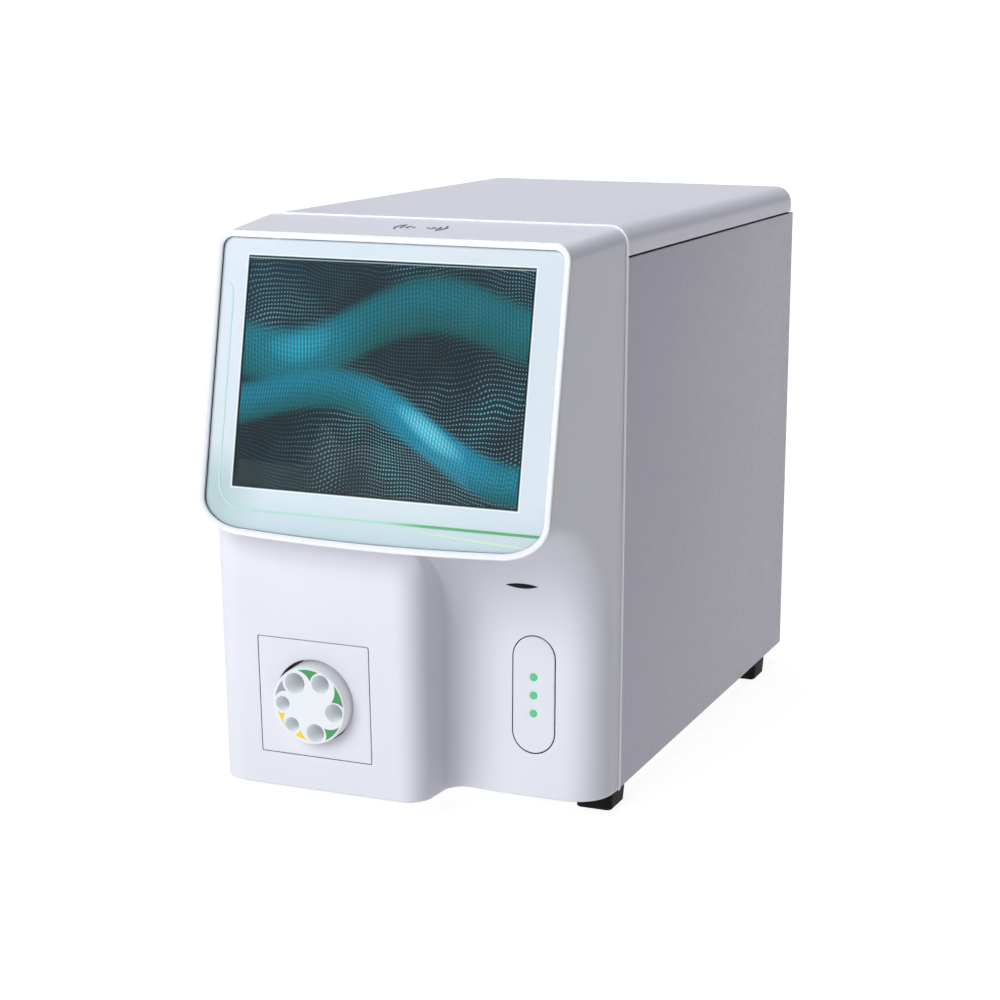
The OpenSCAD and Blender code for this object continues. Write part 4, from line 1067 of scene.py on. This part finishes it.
line = Build()
path = [(x, -95.0) for x in span(123, -96, 60)]
path += [(-96 - 20 * math.sin(rad(90 * k / 16)), -75 - 20 * math.cos(rad(90 * k / 16))) for k in range(16)]
path += [(-116.0, y) for y in span(-75, 52, 30)]
path += [(-116 - 6.5 * (1 - math.cos(rad(80 * k / 8))), 52 + 9 * math.sin(rad(80 * k / 8))) for k in range(9)]
widths = [1.9 if p[0] > 10 else (1.35 if p[0] > -96 else 1.1) for p in path]
widths = list(np.convolve(np.pad(widths, 6, "edge"), np.ones(13) / 13, "valid"))
strip(line, path, widths, -1.79, -1.6)
line.make("green_line_strip", SCREEN, "case", ["green_line_print"], M["print_green"], angle=25)

lcd = Build()
a = lcd.ring(rounded_box(LCD_W + 1.6, LCD_H + 1.6, 0.5, 3, 8), -2.7)
b = lcd.ring(rounded_box(LCD_W + 1.6, LCD_H + 1.6, 0.5, 3, 8), -2.22)
c = lcd.ring(inset(rounded_box(LCD_W + 1.6, LCD_H + 1.6, 0.5, 3, 8), 0.07), -2.15)
lcd.bands([a, b, c])
lcd.fill(c, extra=[(x, y) for x in np.linspace(-96, 96, 13) for y in np.linspace(-70, 70, 9)], to3=lambda x, y: (x, y, -2.15))
lcd.face(a[::-1])
lcd.make("display_panel", SCREEN, "case", ["lcd_panel"], M["screen_dark"], angle=25)

# ---------------------------------------------------------------- tube station
plate = Build()
OPEN_Y = -0.65
ow = rounded_box(PLATE_W, PLATE_W, 1.1, 5, 4)
rings = [plate.ring(inset(ow, g), -d) for g, d in edge_arc(0.45, 4)]
holes = [plate.ring(circle(OPEN_R + g, 96, 0, OPEN_Y), -d) for g, d in edge_arc(0.5, 4)]
back = plate.ring(ow, -3.0)
rings.append(back)
plate.bands(rings)
plate.bands(holes)
tube = [holes[-1], plate.ring(circle(OPEN_R, 96, 0, OPEN_Y), -16.0), plate.ring(circle(OPEN_R + 2.4, 96, 0, OPEN_Y), -16.0), plate.ring(circle(OPEN_R + 2.4, 96, 0, OPEN_Y), -3.0)]
# the collar wall behind the opening takes the second material, painted shade
first_face = len(plate.f)
plate.bands(tube)
plate.inner_from(first_face)
grid_pts = [(x, y) for x in np.linspace(-38, 38, 12) for y in np.linspace(-38, 38, 12) if math.hypot(x, y - OPEN_Y) > OPEN_R + 3.5]
plate.fill(rings[0], [holes[0]], grid_pts, lambda x, y: (x, y, 0.0))
plate.fill(back, [tube[-1]])
plate.make("station_plate_panel", STATION, "case", ["station_plate"], M["cover_white"], angle=35, second=GAP_PAINTED_SHADE)

WELLS = [(122, 7.5, 18.8), (60, 6.6, 20.0), (-8, 6.6, 20.0), (-76, 6.6, 20.0), (-131.5, 5.2, 20.0), (180, 5.2, 20.0)]
RING = 20.0
WHEEL = STATION @ trans(0, -1.6, 0)
wheel = Build()
body = [wheel.ring(circle(WHEEL_R - g * 0.48, 144), WHEEL_OUT - d) for g, d in edge_arc(2.6, 9)]
body += [wheel.ring(circle(WHEEL_R, 144), z) for z in (2, -8, -20, -33.4)] + [wheel.ring(circle(WHEEL_R - 0.6, 144), -34)]
wheel.bands(body)
HOLE_AT = {60: 56, -131.5: -124}  # holes in two floors stand beside the middle
well_loops = []
for a, r, far in WELLS:
    cx, cy = far * math.cos(rad(a)), far * math.sin(rad(a))
    n = 56
    loops = [wheel.ring(circle(r + g, n, cx, cy), WHEEL_OUT - d) for g, d in edge_arc(0.4, 5)]
    well_loops.append(loops[0])
    for z in (4, -4, -12):
        loops.append(wheel.ring(circle(r, n, cx, cy), z))
    hx, hy = RING * math.cos(rad(HOLE_AT.get(a, a))), RING * math.sin(rad(HOLE_AT.get(a, a)))
    for k in range(0, 7):  # rounded bottom, down to the hole that the needle comes through
        t = rad(90 * k / 6)
        w = 1 - math.cos(t)
        loops.append(wheel.ring(circle(mix(r, 1.7, w), n, mix(cx, hx, w), mix(cy, hy, w)), -22 + (r - 1.7) * 0.75 * (1 - math.sin(t))))
    loops.append(wheel.ring(circle(1.7, n, hx, hy), -34))
    wheel.bands(loops[:6])
    # the deeper walls and floors of the wells take the second material, with its painted glow and painted shade
    first_face = len(wheel.f)
    wheel.bands(loops[5:])
    wheel.inner_from(first_face)
needle_rings = []
for a, r, far in WELLS:
    cx, cy = RING * math.cos(rad(HOLE_AT.get(a, a))), RING * math.sin(rad(HOLE_AT.get(a, a)))
    needle_rings.append(wheel.ring(circle(1.7, 56, cx, cy), -34))
bore = wheel.ring(circle(4.0, 48), -38)
hub_out = [wheel.ring(circle(12, 72), -34), wheel.ring(circle(12, 72), -37.5), wheel.ring(circle(11.5, 72), -38)]
wheel.bands(hub_out)
wheel.fill(body[-1], needle_rings + [hub_out[0]])
wheel.fill(hub_out[-1], [bore])
bore_in = wheel.ring(circle(4.0, 48), -20)
wheel.bands([bore, bore_in])
wheel.face(bore_in)
extra = [p for rr in (5, 10, 15) for p in circle(rr, 20) if all(math.hypot(p[0] - far * math.cos(rad(a)), p[1] - far * math.sin(rad(a))) > r + 2 for a, r, far in WELLS)]
wheel.fill(body[0], well_loops, extra + [(0.0, 0.0)], lambda x, y: (x, y, WHEEL_OUT))
wheel.make("tube_wheel_disc", WHEEL, "tube_wheel_unit", ["tube_wheel"], WHEEL_WHITE_PAINTED_GLOW, angle=33, second=WELL_WALL_PAINTED_GLOW)


def rounded(loop, window=1.3, keep=200):
    """A closed outline with its corners softened, by averaging along its length."""
    p = np.array(loop + [loop[0]], float)
    seg = np.linalg.norm(np.diff(p, axis=0), axis=1)
    at = np.concatenate([[0], np.cumsum(seg)])
    t = np.linspace(0, at[-1], keep, endpoint=False)
    q = np.stack([np.interp(t, at, p[:, 0]), np.interp(t, at, p[:, 1])], axis=1)
    w = max(3, int(window / at[-1] * keep) | 1)
    ker = np.hanning(w + 2)[1:-1]
    ker /= ker.sum()
    pad = w // 2
    out = np.stack([np.convolve(np.concatenate([q[-pad:, k], q[:, k], q[:pad, k]]), ker, "valid") for k in range(2)], axis=1)
    return [tuple(x) for x in out]


def polar(r, a):
    return np.array([r * math.cos(rad(a)), r * math.sin(rad(a))])


def hollow(p, q, sag, n=24):
    """Points from p to q on a line that bends towards its left by sag."""
    e = q - p
    side_way = np.array([-e[1], e[0]]) / np.linalg.norm(e)
    return [tuple(p + e * t + side_way * (4 * sag * t * (1 - t))) for t in np.linspace(0, 1, n, endpoint=False)]


def mark_outline(a, r, start, end, tip, tip_r):
    """A fin with its tip beside the well at angle a; r is the radius of its outer side."""
    pts = [tuple(polar(r, a + t)) for t in np.linspace(start, end, 40, endpoint=False)]
    return pts + hollow(polar(r, a + end), polar(tip_r, a + tip), 1.5) + hollow(polar(tip_r, a + tip), polar(r, a + start), 1.2)


def mark_piece(name, pairs, node, slot):
    m = Build()
    for fin in pairs:
        loop = rounded(mark_outline(*fin), 1.1, 260)
        area = sum(p[0] * q[1] - q[0] * p[1] for p, q in zip(loop, loop[1:] + loop[:1]))
        if area < 0:
            loop = loop[::-1]
        t1 = m.ring(inset(loop, 0.06), WHEEL_OUT + 0.16)
        t2 = m.ring(loop, WHEEL_OUT + 0.08)
        t3 = m.ring(loop, WHEEL_OUT + 0.005)
        m.bands([t1, t2, t3])
        m.fill(t1)
        m.fill(t3)
    m.make(name, WHEEL, "tube_wheel_unit", [node], M[slot], angle=40)


mark_piece("wheel_fields_green", [(60, 26.9, 11.5, 46.5, 24, 18.9), (-8, 27.0, 12.5, 49, 22.8, 18.8), (-76, 26.7, 14, 48.5, 23.6, 18.9)], "wheel_marks_green", "mark_green")
mark_piece("wheel_fields_yellow", [(180, 24.8, 12.8, 40, 20.6, 19.4), (228.5, 25.0, 13.3, 39.5, 20.5, 19.1)], "wheel_marks_yellow", "mark_yellow")
mark_piece("wheel_field_grey", [(120, 26.0, 18.2, 50, 30.3, 19.2)], "wheel_mark_grey", "mark_grey")

# ---------------------------------------------------------------- aspirate button
LED_Y = [12.9, -0.3, -13.5]
btn = Build()
outer_b = stadium(BUT_W, BUT_H)
loops = [btn.ring(inset(outer_b, g), 0.3 - d) for g, d in edge_arc(0.9, 6)] + [btn.ring(outer_b, -3.8)]
flange = stadium(BUT_W + 4, BUT_H + 4)
loops += [btn.ring(flange, -3.8), btn.ring(flange, -6.2)]
btn.bands(loops[:7])
# the button's side wall below the rounded edge and its flange take the second material, painted shade
first_face = len(btn.f)
btn.bands(loops[6:])
btn.inner_from(first_face)
led_top = []
for y in LED_Y:
    rr = [btn.ring(circle(2.8 + g, 40, 0, y), 0.3 - d) for g, d in edge_arc(0.25, 3)]
    rr.append(btn.ring(circle(2.8, 40, 0, y), -6.2))
    btn.bands(rr)
    led_top.append((rr[0], rr[-1]))
ex = [(x, y) for x in (-9, 0, 9) for y in np.linspace(-30, 30, 11) if all(math.hypot(x, y - l) > 4.5 for l in LED_Y)]
btn.fill(loops[0], [a for a, b in led_top], ex, lambda x, y: (x, y, 0.3))
btn.fill(loops[-1], [b for a, b in led_top])
for s in (-1, 1):
    pin = [btn.ring(circle(3, 32, 0, 30 * s), z) for z in (-6.0, -21.5)] + [btn.ring(circle(2.5, 32, 0, 30 * s), -22)]
    btn.bands(pin)
    btn.face(pin[-1][::-1])
btn.make("aspirate_button_cap", RECESS, "button", ["aspirate_button"], M["cover_white"], angle=35, second=GAP_PAINTED_SHADE)

leds = Build()
for y in LED_Y:
    rr = [leds.ring(circle(2.72, 40, 0, y), -6.2), leds.ring(circle(2.72, 40, 0, y), 0.02)]
    for k in range(1, 6):
        t = rad(90 * k / 6)
        rr.append(leds.ring(circle(2.72 * math.cos(t), 40, 0, y), 0.02 + 0.38 * math.sin(t)))
    leds.bands(rr)
    leds.face(rr[-1])
    leds.face(rr[0][::-1])
leds.make("button_light_pipes", RECESS, "button", ["button_lights"], M["light_green"], angle=40)

# ---------------------------------------------------------------- top cover and side panels
top = Build()


def arch_at(y, w, h, r=13.0, base=SIDE_TOP + 1.2):
    pts = [(-w, z) for z in np.linspace(base + 0.5, h - r, 4)[:-1]]
    pts = [(-w + 0.5, base), (-w + 0.12, base + 0.15)] + pts
    pts += [(-(w - r) - r * math.cos(rad(90 * k / 14)), h - r + r * math.sin(rad(90 * k / 14))) for k in range(15)]
    pts += [(x, h) for x in np.linspace(-(w - r), 0, 8)[1:-1]]
    pts += [(0.0, h)] + [(-x, z) for x, z in reversed(pts)]
    return top.add([(x, y, z) for x, z in pts])


stations = [(0.5, 0.6), (0.62, 0.25), (0.95, 0.05), (1.4, 0.0)] + [(y, 0.0) for y in np.linspace(1.4, BODY_D - 9, 24)[1:]]
rings = []
for y, g in stations:
    rings.append(arch_at(y, HW - g, BODY_H - g))
for k in range(1, 13):
    a = rad(90 * k / 12)
    y = BODY_D - 9 + 9 * math.sin(a)
    w = HW - 9 + 9 * math.cos(a)
    drop = 4.5 - math.sqrt(max(0.0, 4.5**2 - max(0.0, y - (BODY_D - 4.5)) ** 2))
    rings.append(arch_at(y, w, BODY_H - drop))
for a, b in zip(rings, rings[1:]):
    top.band(a, b, closed=False)
top.fill(rings[-1], flat=(0, 2))
top.make("top_cover_shell", SEAM, "case", ["top_cover"], M["cover_white"], angle=30, outward=True, thick=1.6)


def soft_box(name, lo, hi, bevel, place, body, nodes, slot, segments=3, edges=None):
    """A solid with rounded edges, closed."""
    bm = bmesh.new()
    bmesh.ops.create_cube(bm, size=1.0)
    lo, hi = np.array(lo, float), np.array(hi, float)
    for v in bm.verts:
        v.co = Vector(((lo + hi) / 2 + np.array(v.co) * (hi - lo)) * 0.001)
    sel = [e for e in bm.edges if edges is None or edges(e)]
    bmesh.ops.bevel(bm, geom=sel, offset=bevel * 0.001, segments=segments, profile=0.5, affect="EDGES")
    mesh = bpy.data.meshes.new(name)
    bm.to_mesh(mesh)
    bm.free()
    obj = bpy.data.objects.new(name, mesh)
    bpy.context.scene.collection.objects.link(obj)
    obj.matrix_world = in_metres(place)
    shade(obj, 35)
    dress(obj, body, nodes, M[slot])
    return obj


for s, name in ((-1, "left_side_panel"), (1, "right_side_panel")):
    a, b = sorted((s * (HW - 1.9), s * HW))
    soft_box(name + "_sheet", (a, 0.5, 1.0), (b, BODY_D, SIDE_TOP), 0.75, SEAM, "case", [name], "panel_white")
    c, d = sorted((s * (HW - 14), s * (HW - 2.0)))
    soft_box(name + "_fold", (c, 20, SIDE_TOP - 3.2), (d, BODY_D - 20, SIDE_TOP - 1.6), 0.5, SEAM, "case", [], "panel_white")

# ---------------------------------------------------------------- feet
FEET = [(HW - 18, 9), (18 - HW, 9), (HW - 16, BODY_D - 58), (16 - HW, BODY_D - 58)]
feet = Build()
for fx, fy in FEET:
    def foot_ring(w, d, r, z):
        return feet.add([(fx + x * w / 28, fy + y * d / 31.5, z) for x, y in rounded_box(28, 31.5, r * 28 / w, 6, 6)])

    loops = [foot_ring(28, 31.5, 4.0, -0.1), foot_ring(28, 31.5, 4.0, -4.2), foot_ring(27.8, 31.2, 4.0, -6.2), foot_ring(27.0, 30.2, 4.0, -11.8), foot_ring(26.8, 30.0, 3.9, -13.6)]
    for g, d in reversed(edge_arc(1.3, 4)):
        loops.append(foot_ring(26.6 - 2 * g, 29.8 - 2 * g, max(1.0, 3.8 - g), -FOOT_H + d))
    feet.bands([list(reversed(l)) for l in loops])
    ring_a = feet.add([(fx + x, fy + y, -FOOT_H) for x, y in circle(5, 32)])
    ring_b = feet.add([(fx + x, fy + y, -8.0) for x, y in circle(5, 32)])
    feet.fill(loops[-1], [ring_a])
    feet.band(ring_a, ring_b)
    feet.face(ring_b)
    feet.fill(loops[0])
feet.make("rubber_feet", SEAM, "case", ["feet"], M["foot_black"], angle=40)

# ---------------------------------------------------------------- marks over the card reader
arcs = Build()
fall = math.degrees(math.atan(5.3 / 81))
ARC = SEAM @ trans(4, -40, BODY_H - 40 * 5.3 / 81 + 0.02) @ rx(fall)
for m in (-1, 1):
    for r, deep in ((5.2, 1.3), (9.6, 4.6), (14.0, 5.2), (18.2, 10.5)):
        top_a = math.asin(deep / r)
        n = 20
        pts_o, pts_i = [], []
        for k in range(n + 1):
            a = mix(-top_a, top_a, k / n)
            wdt = (0.95 if r < 6 else 0.75) * math.sqrt(max(0.03, 1 - (2 * k / n - 1) ** 6))
            pts_o.append((m * (r + wdt) * math.cos(a), (r + wdt) * math.sin(a)))
            pts_i.append((m * (r - wdt) * math.cos(a), (r - wdt) * math.sin(a)))
        loop = pts_o + pts_i[::-1]
        if m < 0:
            loop = loop[::-1]
        t, b = arcs.ring(loop, 0.18), arcs.ring(loop, 0.0)
        arcs.band(b, t)
        arcs.fill(t)
        arcs.fill(b)
arcs.make("reader_arc_marks", ARC, "case", ["reader_marks"], READER_INK, angle=40)

# ---------------------------------------------------------------- floor, light and camera
def stage_plane(name, half_x, half_y, at, turn, glow, albedo):
    mesh = bpy.data.meshes.new(name)
    bm = bmesh.new()
    bmesh.ops.create_grid(bm, x_segments=6, y_segments=6, size=1.0)
    for v in bm.verts:
        v.co = Vector((v.co.x * half_x, v.co.y * half_y, 0))
    bm.to_mesh(mesh)
    bm.free()
    o = bpy.data.objects.new(name, mesh)
    bpy.context.scene.collection.objects.link(o)
    o.location = at
    o.rotation_euler = turn
    m = Nodes(name + "_paper")
    c = m.object_coord()
    p = m.principled(Base_Color=m.ramp(m.noise(c, 1.5, 2), [(0.3, (albedo,) * 3), (0.7, (albedo * 1.04,) * 3)]), Roughness=0.95)
    p.inputs["Specular IOR Level"].default_value = 0.0
    p.inputs["Emission Color"].default_value = (1, 1, 1, 1)
    far = m.step(m.new_length(c), 0.5, 3.5)
    m.link(m.math("MULTIPLY_ADD", far, 0.2, glow), p.inputs["Emission Strength"])
    mesh.materials.append(m.mat)
    return o


stage_plane("floor", 60, 60, (0, 0, 0), (0, 0, 0), 0.92, 0.13)
stage_plane("backdrop", 60, 1.5, (0, 59, 1.5), (math.pi / 2, 0, 0), 1.1, 0.3)

world = bpy.data.worlds.new("studio")
bpy.context.scene.world = world
world.use_nodes = True
bg = world.node_tree.nodes["Background"]
bg.inputs[0].default_value = (1.0, 0.97, 1.02, 1)
bg.inputs[1].default_value = 0.05


def area(name, size, power, at, to, colour=(1, 1, 1)):
    light = bpy.data.lights.new(name, "AREA")
    light.shape = "RECTANGLE"
    light.size, light.size_y = size
    light.energy = power
    light.color = colour
    o = bpy.data.objects.new(name, light)
    bpy.context.scene.collection.objects.link(o)
    o.location = at
    o.rotation_euler = (Vector(to) - Vector(at)).to_track_quat("-Z", "Y").to_euler()
    return o


key = area("key", (2.2, 2.0), 112, (-1.10, -2.62, 1.50), (0, 0, 0.2), (0.965, 1.035, 1.0))
key.visible_glossy = False
area("over", (1.1, 1.1), 33, (-0.04, 0.5, 1.95), (0.03, 0.15, 0.4), (0.985, 1.01, 1.01))
fill = area("fill", (1.4, 1.4), 9, (0.35, -3.2, 0.9), (0, 0, 0.2))
fill.visible_glossy = False

CAM = Vector((0.643, -1.455 + Y_SEAM * 0.001, 0.534 + FOOT_H * 0.001))
yaw, pitch, roll = rad(22.28), rad(11.88), rad(0.24)
fw = Vector((-math.sin(yaw) * math.cos(pitch), math.cos(yaw) * math.cos(pitch), -math.sin(pitch)))
r_ = Vector((math.cos(yaw), math.sin(yaw), 0))
u_ = r_.cross(fw)
r2 = r_ * math.cos(roll) + u_ * math.sin(roll)
u2 = -r_ * math.sin(roll) + u_ * math.cos(roll)
cam_data = bpy.data.cameras.new("camera")
cam_data.sensor_width = 36
cam_data.lens = 2265 * 36 / 1000
cam_data.clip_start, cam_data.clip_end = 0.05, 400
cam = bpy.data.objects.new("camera", cam_data)
bpy.context.scene.collection.objects.link(cam)
cam.matrix_world = Matrix(((r2.x, u2.x, -fw.x, CAM.x), (r2.y, u2.y, -fw.y, CAM.y), (r2.z, u2.z, -fw.z, CAM.z), (0, 0, 0, 1)))
bpy.context.scene.camera = cam
bpy.context.scene.view_settings.view_transform = "Standard"
bpy.context.scene.view_settings.look = "None"
